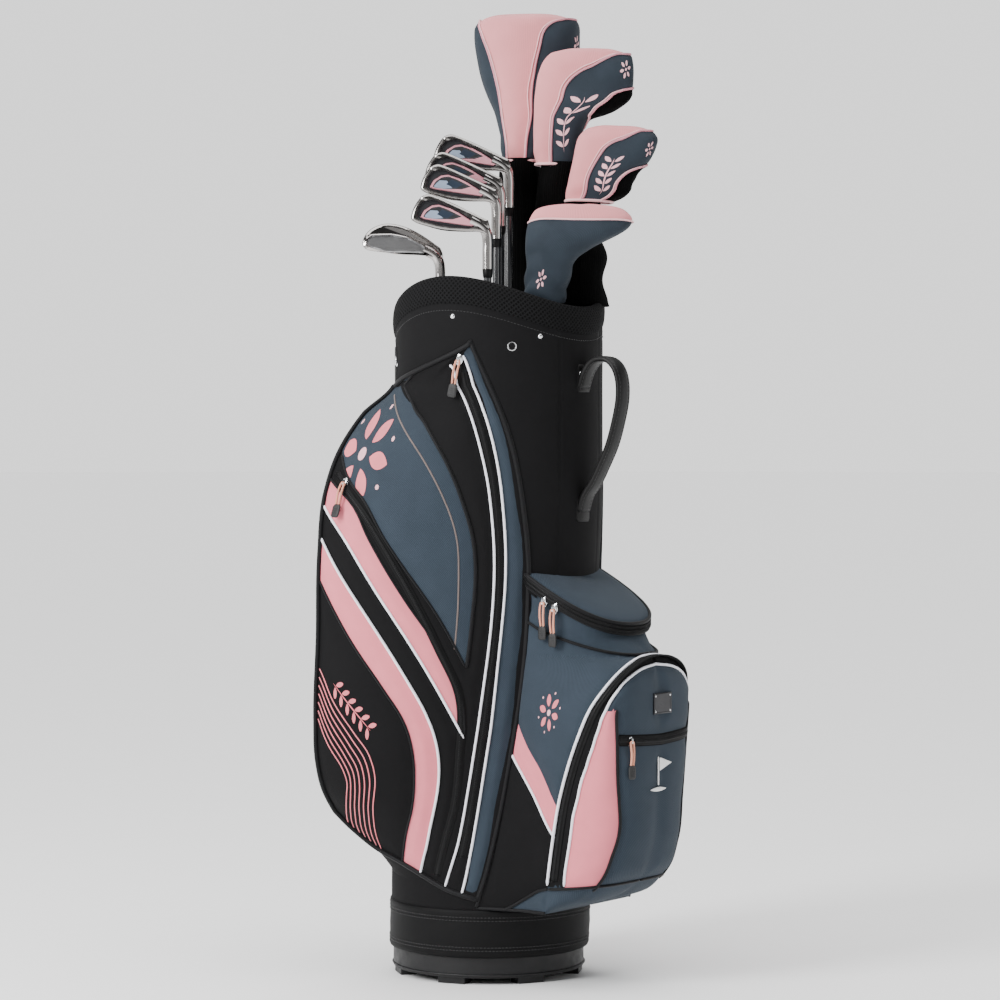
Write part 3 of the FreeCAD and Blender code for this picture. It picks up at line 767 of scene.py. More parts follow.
PLASTIC = grained("base_plastic", (0.0085, 0.0085, 0.0092), 1300.0, 0.00006, 0.46, range_rough=(0.4, 0.56),
                  specular=0.3)
RUBBER = grained("tab_rubber", (0.010, 0.010, 0.0105), 1200.0, 0.00004, 0.6)
LEATHER = grained("strap_leather", (0.0042, 0.0040, 0.0042), 700.0, 0.0003, 0.46, colours=(0.6, 1.3),
                  specular=0.22)
THREAD = plain_weave("thread_black", (0.019, 0.019, 0.020), 0.0009, 0.0001, rough=0.6)
CORD = twill("cord_peach", (0.72, 0.32, 0.22), 0.0009, 0.00016, rough=0.7, colours=(0.7, 1.08))
CHROME = brushed("chrome", (0.78, 0.79, 0.80), 0.16)
STEEL = brushed("steel_satin", (0.33, 0.315, 0.305), 0.22, stretch=(500.0, 500.0, 60.0))
BRIGHT = brushed("steel_polished", (0.46, 0.44, 0.43), 0.11, stretch=(60.0, 60.0, 500.0))
CAST = grained("steel_cast", (0.30, 0.30, 0.305), 1500.0, 0.00005, 0.42, metal=1.0)
DARK = grained("paint_dark", (0.018, 0.019, 0.022), 1500.0, 0.00003, 0.4)
PLATE = brushed("plate_metal", (0.055, 0.055, 0.058), 0.34, stretch=(60.0, 60.0, 900.0))
PAINT_PINK = paint("pink", (0.62, 0.27, 0.32))
PAINT_BLUE = paint("blue", (0.26, 0.32, 0.42))
PAINT_SLATE = paint("slate", (0.022, 0.032, 0.05), rough=0.3, coat=0.6)
PRINT_PINK = ink("pink", (0.74, 0.19, 0.22))
PRINT_LIGHT = ink("light", (0.82, 0.46, 0.50))
PRINT_WHITE = ink("white", (0.86, 0.86, 0.86), colours=(0.93, 1.0))
PRINT_BROWN = ink("brown", (0.16, 0.125, 0.115), rough=0.6, colours=(0.75, 1.1))
SHAFT = grained("graphite_paint", (0.020, 0.021, 0.024), 2000.0, 0.00001, 0.22, coat=0.8)
GRIP = grained("grip_rubber", (0.022, 0.022, 0.023), 420.0, 0.0005, 0.75, colours=(0.5, 1.3))
FOAM = grained("pad_foam", (0.03, 0.03, 0.032), 500.0, 0.0004, 0.95)
LINING = plain_weave("divider_lining", (0.020, 0.020, 0.021), 0.0014, 0.0002, rough=0.9, sheen=0.25)
MOULDED = grained("divider_plastic", (0.016, 0.016, 0.017), 1100.0, 0.00006, 0.5)
COVER_PINK = plain_weave("cover_pink", (0.72, 0.265, 0.28), 0.0012, 0.00010, rough=0.62,
                         colours=(0.88, 1.04), tint=0.03)
PIPE_LIGHT = piping("light", (0.86, 0.50, 0.52), rough=0.5, sheen=0.2, colours=(0.9, 1.0))
COVER_SLATE = twill("cover_slate", (0.022, 0.030, 0.040), 0.0012, 0.00012, sheen=0.03, colours=(0.85, 1.1),
                    tint=0.1)


# ------------------------------------------------------------------- bag

def both_sides(name, mesh, slot, looks, **more):
    """The left piece and its mirror image on the right, riding on the bag."""
    twin = dict(more)
    if "replaces" in more:
        twin["replaces"] = [n.replace("left", "right") for n in more["replaces"]]
    left = piece(name + "_left", mesh, "bag", slot, looks, **more)
    right = piece(name + "_right", mesh.mirrored(), "bag", slot, looks, **twin)
    return left, right


def bevelled(node_name, name, body, look, width):
    """The CAD solid with welded faces and rounded edges."""
    data = frame["nodes"][node_name].data.copy()
    work = bmesh.new()
    work.from_mesh(data)
    bmesh.ops.remove_doubles(work, verts=work.verts, dist=0.00001)
    bmesh.ops.dissolve_limit(work, angle_limit=math.radians(1.5), verts=work.verts, edges=work.edges)
    work.to_mesh(data)
    work.free()
    data.materials.clear()
    data.materials.append(look)
    made = link(name, data)
    edge = made.modifiers.new("edges", "BEVEL")
    edge.width = width * MM
    edge.segments = 3
    edge.limit_method = "ANGLE"
    edge.angle_limit = math.radians(35)
    data.polygons.foreach_set("use_smooth", [True] * len(data.polygons))
    data.set_sharp_from_angle(angle=math.radians(40))
    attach(made, body)
    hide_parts(node_name)
    return made


def make_base():
    """Moulded foot of the bag, with two rounded ribs."""
    bevelled("base_moulding", "base_shell", "bag", PLASTIC, 1.4)
    turn = np.linspace(0, 360, 181)[:-1]
    rib = Mesh()
    for z in (BASE_H - 2.4, 11.5):
        sweep(on_tube(turn, np.full(180, z), -0.6), round_profile(1.3, 6), closed=True, mesh=rib)
    piece("base_ribs", rib, "bag", "base_plastic", [PLASTIC])


def make_band():
    """Nylon strap band above the foot, with two double rows of stitches."""
    turn = np.linspace(-180, 180, 241)[:-1]
    profile = [(34.5, 0.4), (35.0, 2.2), (37.5, 3.0), (42, 2.2), (50, 2.6), (62, 3.0), (74, 2.6), (82, 2.2),
               (87, 3.0), (90, 2.4), (91, 0.6)]
    heights, grows = zip(*profile)

    def around(z, lift=0.0):
        ripple_ = 0.5 * np.sin(np.radians(turn) * 3 + z * 0.05) * math.sin((z - 34) / 56 * math.pi)
        return on_tube(turn, np.full(240, z), np.interp(z, heights, grows) + ripple_ + lift)
    rows = [around(z) for z in heights]
    piece("base_band_cloth", grid_mesh(rows, closed=True), "bag", "black_nylon", [NYLON], thick=1.5,
          replaces=["base_band"])
    thread = Mesh()
    for z in (42, 46, 78.5, 82.5):
        path = around(z, 1.65)
        blocks(path, from_axis(path, tube_y(z)), 4.4, (3.0, 1.1, 0.7), mesh=thread)
    piece("base_band_stitches", thread, "bag", "black_nylon", [THREAD])


TUBE_SEAM = 19.0


def make_tube():
    """Cloth shell of the tube, pulled in along its upright seams."""
    turn = np.linspace(-180, 180, 289)[:-1]
    rows = []
    for f in np.linspace(0, 1, 140):
        top = saddle(turn, RIM_FRONT) - 1.0
        z = 88 + f * (top - 88)
        p = on_tube(turn, z)
        seam = np.minimum(np.abs(np.abs(turn) - TUBE_SEAM), np.abs(np.abs(turn) - 168))
        groove = -0.9 * np.exp(-(seam / 0.9) ** 2) * (z > 470)
        soft = 0.7 * ripple(p, 95.0) * np.clip((top - z) / 60, 0, 1) * np.clip((z - 88) / 60, 0, 1)
        rows.append(on_tube(turn, z, groove + soft - 0.2))
    piece("tube_cloth", grid_mesh(rows, closed=True), "bag", "black_fabric", [BLACK], thick=2.4,
          replaces=["tube_shell"])
    seams = Mesh()
    for side in (-1, 1):
        for shift in (-1.6, 1.6):
            z = np.arange(476, 786, 4.0)
            angle = np.full_like(z, side * (TUBE_SEAM + shift))
            path = on_tube(angle, z, 0.1)
            blocks(path, from_axis(path, tube_y(z)), 4.0, (2.7, 0.7, 0.5), mesh=seams)
    piece("tube_seam_stitches", seams, "bag", "black_fabric", [THREAD])


def ring_path(front, grow, turn):
    return on_tube(turn, saddle(turn, front), grow)


def make_cuff():
    """Spacer-mesh collar, its binding strip, studs and eyelets."""
    turn = np.linspace(-180, 180, 241)[:-1]
    section = [(0.3, -4), (2.0, -2.5), (3.4, 2), (4.1, 9), (4.0, 17), (2.9, 24), (0.6, 28), (-2.6, 29.2),
               (-6, 28.2), (-8.8, 24), (-10.2, 15), (-10.6, 4), (-11.0, -12)]
    rows = [ring_path(RIM_FRONT + h, grow + 0.25 * np.sin(np.radians(turn) * 7 + h), turn)
            for grow, h in section]
    piece("collar_padding", grid_mesh(rows, closed=True), "bag", "black_mesh", [MESH],
          thick=1.2, subdivide=1, replaces=["cuff_collar"])
    strip = Mesh()
    path = ring_path(RIM_FRONT - 6.5, 0.9, turn)
    centre = points(0 * turn, CUFF_Y, path[:, 2])
    sweep(path, flat_profile(13.5, 1.8), ups=unit(path - centre), closed=True, mesh=strip)
    piece("cuff_binding", strip, "bag", "black_nylon", [NYLON])
    thread = Mesh()
    for drop in (11.6, 1.6):
        path = ring_path(RIM_FRONT - drop, 1.95, turn)
        blocks(path, unit(path - centre), 4.2, (2.9, 0.8, 0.5), mesh=thread)
    piece("cuff_binding_stitches", thread, "bag", "black_nylon", [THREAD])
    studs = Mesh()
    dome = [(0.0, -1.0), (5.0, -0.6), (5.1, 0.5), (4.7, 1.4), (3.7, 2.2), (2.2, 2.8), (0.05, 3.0)]
    for angle, z in ((31, 783), (80, 807), (132, 750), (-31, 783), (-80, 807), (-132, 750)):
        foot = on_tube(angle, z, 0.6)
        lathe(foot, from_axis(foot, CUFF_Y), [(0.68 * r, h) for r, h in dome], 20, mesh=studs, side=UP)
    piece("cuff_studs", studs, "bag", "chrome_trim", [CHROME], replaces=["collar_studs"])
    rings, wells = Mesh(), Mesh()
    well = [(4.6, 0), (4.4, 0.8), (3.0, 1.1), (0.05, 1.0)]
    loop = np.linspace(0, 2 * math.pi, 25)[:-1]
    for angle in (47, -47):
        foot = on_tube(angle, 771.0, 0.9)
        outward = from_axis(foot, CUFF_Y)
        across = unit(np.cross(UP, outward))
        circle = foot + np.outer(np.cos(loop) * 5.0, across) + np.outer(np.sin(loop) * 5.0, UP)
        sweep(circle, round_profile(1.35, 8), closed=True, mesh=rings)
        lathe(foot - outward * 0.6, outward, well, 18, mesh=wells, side=UP)
    piece("cuff_eyelets", rings, "bag", "chrome_trim", [CHROME])
    piece("cuff_eyelet_wells", wells, "bag", "black_nylon", [TEETH])
    button = [(5.6, -0.4), (5.6, 0.5), (4.4, 1.3), (2.4, 1.5), (0.05, 1.2)]
    for side, word in ((1, "left"), (-1, "right")):
        tab, snap = Mesh(), Mesh()
        z = np.linspace(722, 772, 14)
        path = on_tube(np.full_like(z, side * 136.0), z, 1.6)
        sweep(path, flat_profile(22, 2.2, 0.45), ups=from_axis(path, CUFF_Y), mesh=tab, ends=0.9)
        piece("cuff_snap_tab_" + word, tab, "bag", "black_nylon", [NYLON])
        foot = on_tube(side * 136.0, 755.0, 2.6)
        lathe(foot, from_axis(foot, CUFF_Y), button, 20, mesh=snap, side=UP)
        piece("cuff_snap_" + word, snap, "bag", "chrome_trim", [CHROME])


# -------------------------------------------------------------- side pockets

def on_pocket(control, step=4.0):
    """Line on the side pocket from (share of the way back, height) points, as (a, z)."""
    return spline(np.asarray(control, float) * np.array([POCKET_SPAN, 1.0]), step)


POCKET = {
    "top": [(0.0, 776), (0.25, 773), (0.45, 768), (0.61, 757), (0.72, 744), (0.84, 731), (0.92, 719),
            (0.97, 704), (1.0, 690)],
    "floor": [(1.0, 205), (0.95, 186), (0.86, 164), (0.64, 143), (0.30, 117), (0.0, 104)],
    "pipe_back": [(0.37, 749), (0.28, 742), (0.225, 728), (0.186, 692), (0.160, 640), (0.147, 599),
                  (0.15, 510), (0.168, 385), (0.18, 240), (0.21, 175), (0.29, 118)],
    "pipe_front": [(0.26, 760), (0.17, 752), (0.118, 737), (0.098, 692), (0.092, 640), (0.090, 599),
                   (0.102, 500), (0.118, 400), (0.113, 300), (0.12, 200), (0.14, 110)],
    "slate_edge": [(0.74, 742), (0.60, 700), (0.47, 676), (0.33, 626), (0.25, 561), (0.232, 510),
                   (0.245, 439), (0.255, 386)],
    "slate_low": [(0.97, 640), (0.86, 610), (0.74, 583), (0.63, 538), (0.41, 455), (0.262, 388)],
    "print_line": [(0.83, 712), (0.58, 666), (0.45, 632), (0.355, 588), (0.31, 545), (0.305, 479),
                   (0.312, 408)],
    "pink_1_up": [(1.0, 612), (0.80, 577), (0.71, 538), (0.53, 464), (0.38, 408), (0.30, 368), (0.25, 338),
                  (0.228, 305)],
    "pink_1_low": [(1.0, 580), (0.84, 537), (0.63, 460), (0.42, 379), (0.23, 301)],
    "pink_2_up": [(1.0, 541), (0.72, 447), (0.51, 370), (0.41, 329), (0.35, 293), (0.328, 263), (0.335, 230),
                  (0.40, 178), (0.51, 131)],
    "pink_2_low": [(1.0, 490), (0.80, 417), (0.63, 363), (0.51, 320), (0.455, 280), (0.448, 240),
                   (0.48, 208), (0.65, 143)],
    "zip": [(0.955, 618), (0.86, 596), (0.74, 567), (0.56, 497), (0.38, 408), (0.27, 350), (0.238, 280),
            (0.245, 214), (0.36, 132)],
}
RAY_OUTER = [(1.0, 386), (0.95, 372), (0.88, 344), (0.75, 305), (0.67, 280), (0.645, 250), (0.70, 210),
             (0.80, 158)]
RAY_INNER = [(1.0, 326), (0.97, 316), (0.90, 289), (0.83, 264), (0.81, 246), (0.83, 232), (0.88, 212),
             (0.96, 188)]
RAY_COUNT = 7


def pocket_target(ab):
    """Where a point on the pocket's rim comes down to the tube."""
    a, z = ab[:, 0], ab[:, 1]
    t = a / POCKET_SPAN
    angle = np.where(z > 690, 70 + 88 * np.clip(t, 0, 1) ** 1.4, 158.0)
    low = z < 210
    angle = np.where(low, 63 + 95 * np.clip(t, 0, 1), angle)
    height = np.where(z > 690, np.minimum(z + 7, 782), z)
    height = np.where(low, np.maximum(91.0, z - 30 * t - 8), height)
    return on_tube(angle, height, -1.5)


def leaf(centre, length, width, turn, count=14):
    """Pointed oval outline about a centre, its long axis turned by an angle in degrees."""
    u = np.linspace(0, 1, count)
    bow = width / 2 * np.sin(math.pi * u) ** 0.8
    x = np.concatenate([u, u[::-1][1:-1]]) * length - length / 2
    y = np.concatenate([bow, -bow[::-1][1:-1]])
    c, s = math.cos(math.radians(turn)), math.sin(math.radians(turn))
    return np.stack([x * c - y * s, x * s + y * c], -1) + np.asarray(centre, float)


def rosette(centre, radius, petals=6, start=0.0):
    """Plain daisy: pointed petals round a small disc, as outlines."""
    outlines = []
    for k in range(petals):
        turn = start + 360 * k / petals
        c, s = math.cos(math.radians(turn)), math.sin(math.radians(turn))
        middle = np.asarray(centre, float) + np.array([c, s]) * radius * 0.64
        outlines.append(leaf(middle, radius * 0.66, radius * 0.36, turn))
    return outlines


def sprig_outlines(start, end, pairs, length, width):
    """Plain sprig from start to end: a thin stem with pairs of leaves."""
    start, end = np.asarray(start, float), np.asarray(end, float)
    run = end - start
    turn = math.degrees(math.atan2(run[1], run[0]))
    outlines = [leaf((start + end) / 2, np.linalg.norm(run), 1.6, turn)]
    across = unit(np.array([-run[1], run[0]]))
    for k in range(pairs):
        foot = start + run * (k + 0.5) / pairs
        for side in (-1, 1):
            lean = turn + side * 48
            tip = np.array([math.cos(math.radians(lean)), math.sin(math.radians(lean))])
            outlines.append(leaf(foot + across * side * 1.2 + tip * length * 0.5, length, width, lean))
    return outlines


def disc(centre, radius, count=16):
    turn = np.arange(count) * 2 * math.pi / count
    return np.asarray(centre, float) + radius * np.stack([np.cos(turn), np.sin(turn)], -1)


def dot_ring(middle, radius, size, first):
    """A daisy's middle disc and the six dots between its petals."""
    turns = [math.radians(t) for t in range(first, first + 360, 60)]
    return [disc((0, 0), middle)] + [disc((radius * math.cos(t), radius * math.sin(t)), size) for t in turns]


def prints(surface, outlines, lift, stretch=(1.0, 1.0), centre=(0.0, 0.0), clip=None, step=3.0):
    """Thin printed shapes laid on a surface, each outline given about a centre."""
    mesh = Mesh()
    for outline in outlines:
        flat = np.asarray(outline) * np.asarray(stretch) + np.asarray(centre)
        if clip is not None and not inside(flat, clip).all():
            keep = inside(flat, clip)
            if keep.sum() < 4:
                continue
            flat = flat[keep]
        ab, faces, _ = triangles(flat, [], step)
        if surface.flip:
            faces = faces[:, ::-1]
        mesh.add(surface.cloth(ab, lift), faces, 0, ab)
    return mesh


def make_side_pockets():
    """Side pockets: panels, gusset, pipings, zips and prints."""
    wall = Surface(pocket_wall)
    lines = {name: on_pocket(control) for name, control in POCKET.items()}
    top, floor = lines["top"], lines["floor"]
    back = spline([(POCKET_SPAN, 690), (POCKET_SPAN, 205)], 5.0)
    front = spline([(0, 104), (0, 776)], 5.0)
    outline = np.vstack([top, back[1:], floor[1:], front[1:-1]])
    span = POCKET_SPAN
    regions = [
        (np.vstack([lines["pipe_front"], [(0, 90), (-9, 90), (-9, 790), (60, 790)]]), 1),
        (np.vstack([lines["slate_edge"], lines["slate_low"][::-1],
                    [(span + 9, 660), (span + 9, 760), (span * 0.8, 770)]]), 1),
        (np.vstack([lines["pink_1_up"], lines["pink_1_low"][::-1]]), 2),
        (np.vstack([lines["pink_2_up"], lines["pink_2_low"][::-1]]), 2),
    ]
    seams = [lines[k] for k in POCKET if k not in ("top", "floor", "print_line")]
    panel = patch(wall, outline, seams, regions, step=4.6, puff=2.6, width=15.0, rough=0.9)
    both_sides("side_pocket_panel", panel, "slate_fabric", [BLACK, SLATE, PINK])
    rim = np.vstack([top, back[1:], floor[1:]])
    start = wall.at(rim, 0.0)
    end = pocket_target(rim)
    rows = []
    for f in np.linspace(0, 1, 9):
        bulge = 3.0 * math.sin(math.pi * f) * (rim[:, 1] < 700)
        rows.append(start + (end - start) * f + points(0 * bulge, bulge, 0 * bulge))
    gusset = grid_mesh(rows, outward=False)
    both_sides("side_pocket_gusset", gusset, "black_fabric", [BLACK], thick=1.2,
               replaces=["side_pocket_left"])
    white, black = Mesh(), Mesh()
    for name in ("pipe_back", "pipe_front", "pink_1_low", "pink_2_up"):
        sweep(wall.at(lines[name], 0.9), round_profile(1.6), mesh=white, ends=0.5)
    both_sides("side_pocket_piping_white", white, "slate_fabric", [PIPE_WHITE])
    closed_rim = np.vstack([front, rim[1:]])
    sweep(wall.at(closed_rim, 1.2), round_profile(3.0), closed=True, mesh=black)
    for name in ("slate_edge", "slate_low", "pink_1_up", "pink_2_low"):
        thin = 1.5 if name != "slate_edge" else 2.0
        sweep(wall.at(lines[name], 0.6), round_profile(thin), mesh=black, ends=0.5)
    both_sides("side_pocket_piping_black", black, "black_fabric", [PIPE_BLACK])
    zips = Mesh()
    mid = (resample(lines["pipe_back"], 4.0)[:160], resample(lines["pipe_front"], 4.0)[:160])
    count = min(len(mid[0]), len(mid[1]))
    share = np.linspace(0, 1, count)
    centre = sum(np.stack([np.interp(share, np.linspace(0, 1, len(m)), m[:, i]) for i in (0, 1)], -1) / 2
                 for m in mid)
    for line in (centre, lines["zip"]):
        zip_run(wall.at(line, 0.8), wall.normals(line), tape=10.5, mesh=zips)
    both_sides("side_pocket_zips", zips, "black_nylon", [NYLON, TEETH])
    brown = Mesh()
    line = lines["print_line"]
    sweep(wall.cloth(line, 0.3), flat_profile(2.0, 0.7), ups=wall.normals(line), mesh=brown)
    both_sides("side_pocket_print_line", brown, "slate_fabric", [PRINT_BROWN])
    rays = Mesh()
    for k in range(RAY_COUNT):
        f = k / (RAY_COUNT - 1)
        outer, inner = np.array(RAY_OUTER), np.array(RAY_INNER)
        line = on_pocket(outer + (inner - outer) * f)
        line = line[line[:, 0] < span - 4]
        sweep(wall.cloth(line, 0.35), flat_profile(1.5, 0.7), ups=wall.normals(line), mesh=rays)
    both_sides("side_pocket_print_rays", rays, "pink_fabric", [PRINT_PINK])
    clip = np.array([(4, 120), (span - 7, 120), (span - 7, 690), (4, 690)])
    lower = np.vstack([lines["slate_low"], [(0.26 * span, 800), (span - 7, 800)]])
    middle = (0.815 * span, 640)
    flower = prints(wall, rosette((0, 0), 58, 6, 12), 0.35, centre=middle, clip=lower)
    both_sides("side_pocket_flower", flower, "pink_fabric", [PRINT_PINK])
    dots = prints(wall, dot_ring(8, 58, 3.4, 42), 0.5, centre=middle, clip=lower)
    both_sides("side_pocket_flower_dots", dots, "pink_fabric", [PRINT_LIGHT])
    sprig = sprig_outlines((0.885 * span, 366), (0.665 * span, 309), 6, 15.0, 6.4)
    twig = prints(wall, sprig, 0.35, clip=clip)
    both_sides("side_pocket_sprig", twig, "pink_fabric", [PRINT_PINK])


# ------------------------------------------------------------- front pockets

COLUMN_RISE = 385.0


def column_shape(a, b):
    return column_wall(a, np.asarray(b, float) / COLUMN_RISE)


ARCH_FOOT = 35.0


def arch_line(step=4.0):
    """The arched zip from its foot to the crown, on the left, as points in space."""
    q = np.arange(ARCH_FOOT, DOOR_Q, step)
    q = np.append(q, DOOR_Q)
    z = door_height(q)
    return points(-arch_half(z), zip_y(z), z)


def arch_outward(arch):
    """Directions away from the ball pocket's middle along its arched zip."""
    rise = np.maximum(arch[:, 2] - ARCH_SHOULDER, 0) / 70.0
    return unit(np.stack([arch[:, 0] / ARCH_HALF, 0 * rise, rise], -1))


def whole(path):
    """A left half line that ends in the middle, carried on down the right."""
    return np.vstack([path, (path * np.array([-1.0, 1.0, 1.0])[:path.shape[1]])[::-1][1:]])


def door_inset(door, depth):
    """Line on the door at a distance inside the arched zip, from the foot to the middle."""
    out = []
    arch = arch_line(2.0)
    for q in np.arange(ARCH_FOOT, DOOR_Q - 4, 4.0):
        near = depth - 10.0 * ease(q, 190, 300)
        a = np.linspace(0, DOOR_SPAN, 160)
        p = door.shape(a, np.full_like(a, q))
        gap = np.linalg.norm(p[:, None, :] - arch[None, ::3, :], axis=-1).min(1)
        hit = np.argmax(gap > near)
        if gap.max() > near:
            out.append((a[hit], q))
    top = out[-1][1]
    out.append((DOOR_SPAN, top + 1.5))
    return spline(out[:-1][::3] + [out[-1]], 4.0)


def fold_right(surface_mesh):
    """A left half mesh together with its mirror image."""
    return Mesh().join(surface_mesh).join(surface_mesh.mirrored())


def on_column(control):
    """Line on the front column from (distance, share of the way up) points."""
    return spline(np.asarray(control, float) * np.array([1.0, COLUMN_RISE]), 4.0)


def make_column():
    """Cloth of the ball pocket's back and the cooler pocket, with its stripe and pipings."""
    wall = Surface(column_shape)
    span = COLUMN_SPAN
    band = on_column([(0, 0.885), (40, 0.888), (75, 0.899), (124, 0.905), (span, 0.925)])
    stripe_up = on_column([(-4, 0.59), (50, 0.525), (100, 0.48), (span + 4, 0.372)])
    stripe_low = on_column([(-4, 0.485), (50, 0.43), (97, 0.382), (span + 4, 0.275)])
    hem = spline([(0.2 * span, 0), (0.4 * span, 13), (0.6 * span, 22.5), (0.8 * span, 30),
                  (span + 2, ARCH_FOOT)], 4.0)
    outline = np.array([(0, 0), (span, 0), (span, COLUMN_RISE), (0, COLUMN_RISE)], float)
    regions = [
        (np.vstack([stripe_up, stripe_low[::-1]]), 2),
        (np.vstack([stripe_low, [(span + 4, -9)], [(-4, -9)]]), 0),
        (np.vstack([hem, [(span + 4, -9), (0.2 * span, -9)]]), 1),
    ]

    def relief(ab):
        f = ab[:, 1] / COLUMN_RISE
        return -3.0 * ease(f, 0.9, 0.93) * (1 - ease(f, 0.95, 1.0))

    panel = patch(wall, outline, [band, stripe_up, stripe_low, hem], regions,
                  step=4.6, puff=2.4, width=14.0, base=1, relief=relief)
    piece("front_column_panels", fold_right(panel), "bag", "slate_fabric", [BLACK, SLATE, PINK], weld=0.4,
          replaces=["ball_pocket_back", "cooler_pocket"])
    white, black = Mesh(), Mesh()
    arch = arch_line()
    sweep(whole(arch + arch_outward(arch) * 1.8), round_profile(1.9), mesh=white, ends=0.5)
    for line, radius, mesh in ((band, 1.9, black), (hem, 1.8, black)):
        sweep(wall.at(line, 0.8), round_profile(radius), mesh=mesh, ends=0.5)
    seam = spline([(0.5, 2), (0.5, COLUMN_RISE)], 5.0)
    sweep(wall.at(seam, 1.0), round_profile(2.6), mesh=black)
    floor = spline([(0, 1), (span, 1)], 5.0)
    sweep(wall.at(floor, 0.4), round_profile(1.9), mesh=black)
    piece("front_piping_white", fold_white(white, wall, stripe_low), "bag", "slate_fabric", [PIPE_WHITE])
    piece("front_piping_black", fold_right(black), "bag", "black_fabric", [PIPE_BLACK])
    flower = prints(wall, rosette((0, 0), 25, 6, 0), 0.35, centre=(93, 0.675 * COLUMN_RISE))
    both_sides("front_side_flower", flower, "pink_fabric", [PRINT_PINK])
    dots = prints(wall, dot_ring(4.2, 25, 1.9, 30), 0.5, centre=(93, 0.675 * COLUMN_RISE))
    both_sides("front_side_flower_dots", dots, "pink_fabric", [PRINT_LIGHT])
    a = np.linspace(0, span, 24)
    edge = wall.shape(a, np.zeros_like(a))
    rows = [whole(edge)]
    for f in (0.25, 0.5, 0.75, 1.0):
        angle = 62 * (1 - a / span)
        target = on_tube(angle, np.full_like(a, 91.0), -1.5)
        rows.append(whole(edge + (target - edge) * f))
    piece("front_column_underside", grid_mesh(rows, outward=False), "bag", "slate_fabric", [SLATE],
          thick=1.2)


def fold_white(white, wall, stripe):
    """White piping: the whole arch, and the stripe's edge on both sides."""
    edge = sweep(wall.at(stripe, 0.8), round_profile(1.6), ends=0.5)
    return white.join(fold_right(edge))


def make_door():
    """Drop-down front of the ball pocket, with its arched zip and small pocket."""
    door = Surface(door_wall)
    inner = door_inset(door, 22.0)
    corner = spline([(66, 30), (68, 60), (75, 110), (66, 165), (60, 208), (52, 250)], 4.0)
    zip_low, zip_high = 205.0, 219.0
    bars = [spline([(60, q), (DOOR_SPAN + 2, q - 4)], 4.0) for q in (zip_low, zip_high)]
    base = spline([(0, 30), (30, 33), (70, 36), (120, 37), (DOOR_SPAN, 37)], 4.0)
    outline = np.array([(0, 0), (DOOR_SPAN, 0), (DOOR_SPAN, DOOR_Q), (0, DOOR_Q)], float)
    gusset = np.vstack([inner, [(DOOR_SPAN, DOOR_Q + 5), (-5, DOOR_Q + 5), (-5, 33), (inner[0, 0], 33)]])
    pink = np.vstack([corner, inner[inner[:, 1] < 252][::-1], [(18, 30)]])
    dark = np.vstack([bars[0], bars[1][::-1]])
    regions = [(gusset, 0), (pink, 2), (dark, 0),
               (np.array([(-5, -5), (DOOR_SPAN + 5, -5), (DOOR_SPAN + 5, 33.5), (-5, 33.5)]), 1)]
    panel = patch(door, outline, [inner, corner, base] + bars, regions,
                  step=4.2, puff=2.6, width=13.0, base=1)
    piece("ball_pocket_panels", fold_right(panel), "ball_pocket_door", "slate_fabric", [BLACK, SLATE, PINK],
          weld=0.4, replaces=["ball_pocket_door"])
    white = Mesh()
    sweep(whole(door.at(inner, 1.0)), round_profile(1.7), mesh=white, ends=0.5)
    piece("ball_pocket_piping_white", white, "ball_pocket_door", "slate_fabric", [PIPE_WHITE])
    black = Mesh()
    for line, radius in ((corner, 2.0), (base, 1.8)):
        sweep(door.at(line, 0.8), round_profile(radius), mesh=black, ends=0.5)
    piece("ball_pocket_piping_black", fold_right(black), "ball_pocket_door", "black_fabric", [PIPE_BLACK])
    zips = Mesh()
    arch = arch_line()
    forward = np.tile(np.array([0.0, -1.0, 0.12]), (len(arch), 1))
    outward = arch_outward(arch)
    for ahead in (6.5, 12.0):
        path = arch + unit(forward) * ahead + outward * 0.5
        path = whole(path[1:])
        ups = whole(outward[1:])
        if ahead < 8:
            zip_run(path, ups, tape=8.0, mesh=zips)
        else:
            sweep(path, flat_profile(3.4, 1.8), ups=ups, look=0, mesh=zips)
    piece("ball_pocket_zip", zips, "ball_pocket_door", "black_nylon", [NYLON, TEETH])
    bar = Mesh()
    line = spline([(62, (zip_low + zip_high) / 2), (DOOR_SPAN, (zip_low + zip_high) / 2 - 4)], 4.0)
    path = whole(door.at(line, 1.4))
    zip_run(path, whole(door.normals(line)), tape=11.0, mesh=bar)
    piece("front_panel_zip", bar, "ball_pocket_door", "black_nylon", [NYLON, TEETH])
    pennant = [np.array([(0, 0), (2.2, 0), (2.2, 34), (0, 34)], float),
               np.array([(4, 17), (30, 25), (4, 33)], float),
               leaf((1, -5), 34, 5, 0)]
    sign = Mesh()
    flat_front = Surface(lambda x, z: points(x, -252.6 - 1.2 * np.cos(np.asarray(x) / 60.0), z))
    for outline_ in pennant:
        ab, faces, _ = triangles(np.asarray(outline_) + np.array([-8.0, 247.0]), [], 2.5)
        if flat_front.flip is None:
            flat_front.normals(ab)
        sign.add(flat_front.at(ab, 3.0), faces[:, ::-1] if flat_front.flip else faces, 0, ab)
    piece("ball_pocket_sign", sign, "ball_pocket_door", "slate_fabric", [PRINT_WHITE], thick=0.6)
    make_plate()


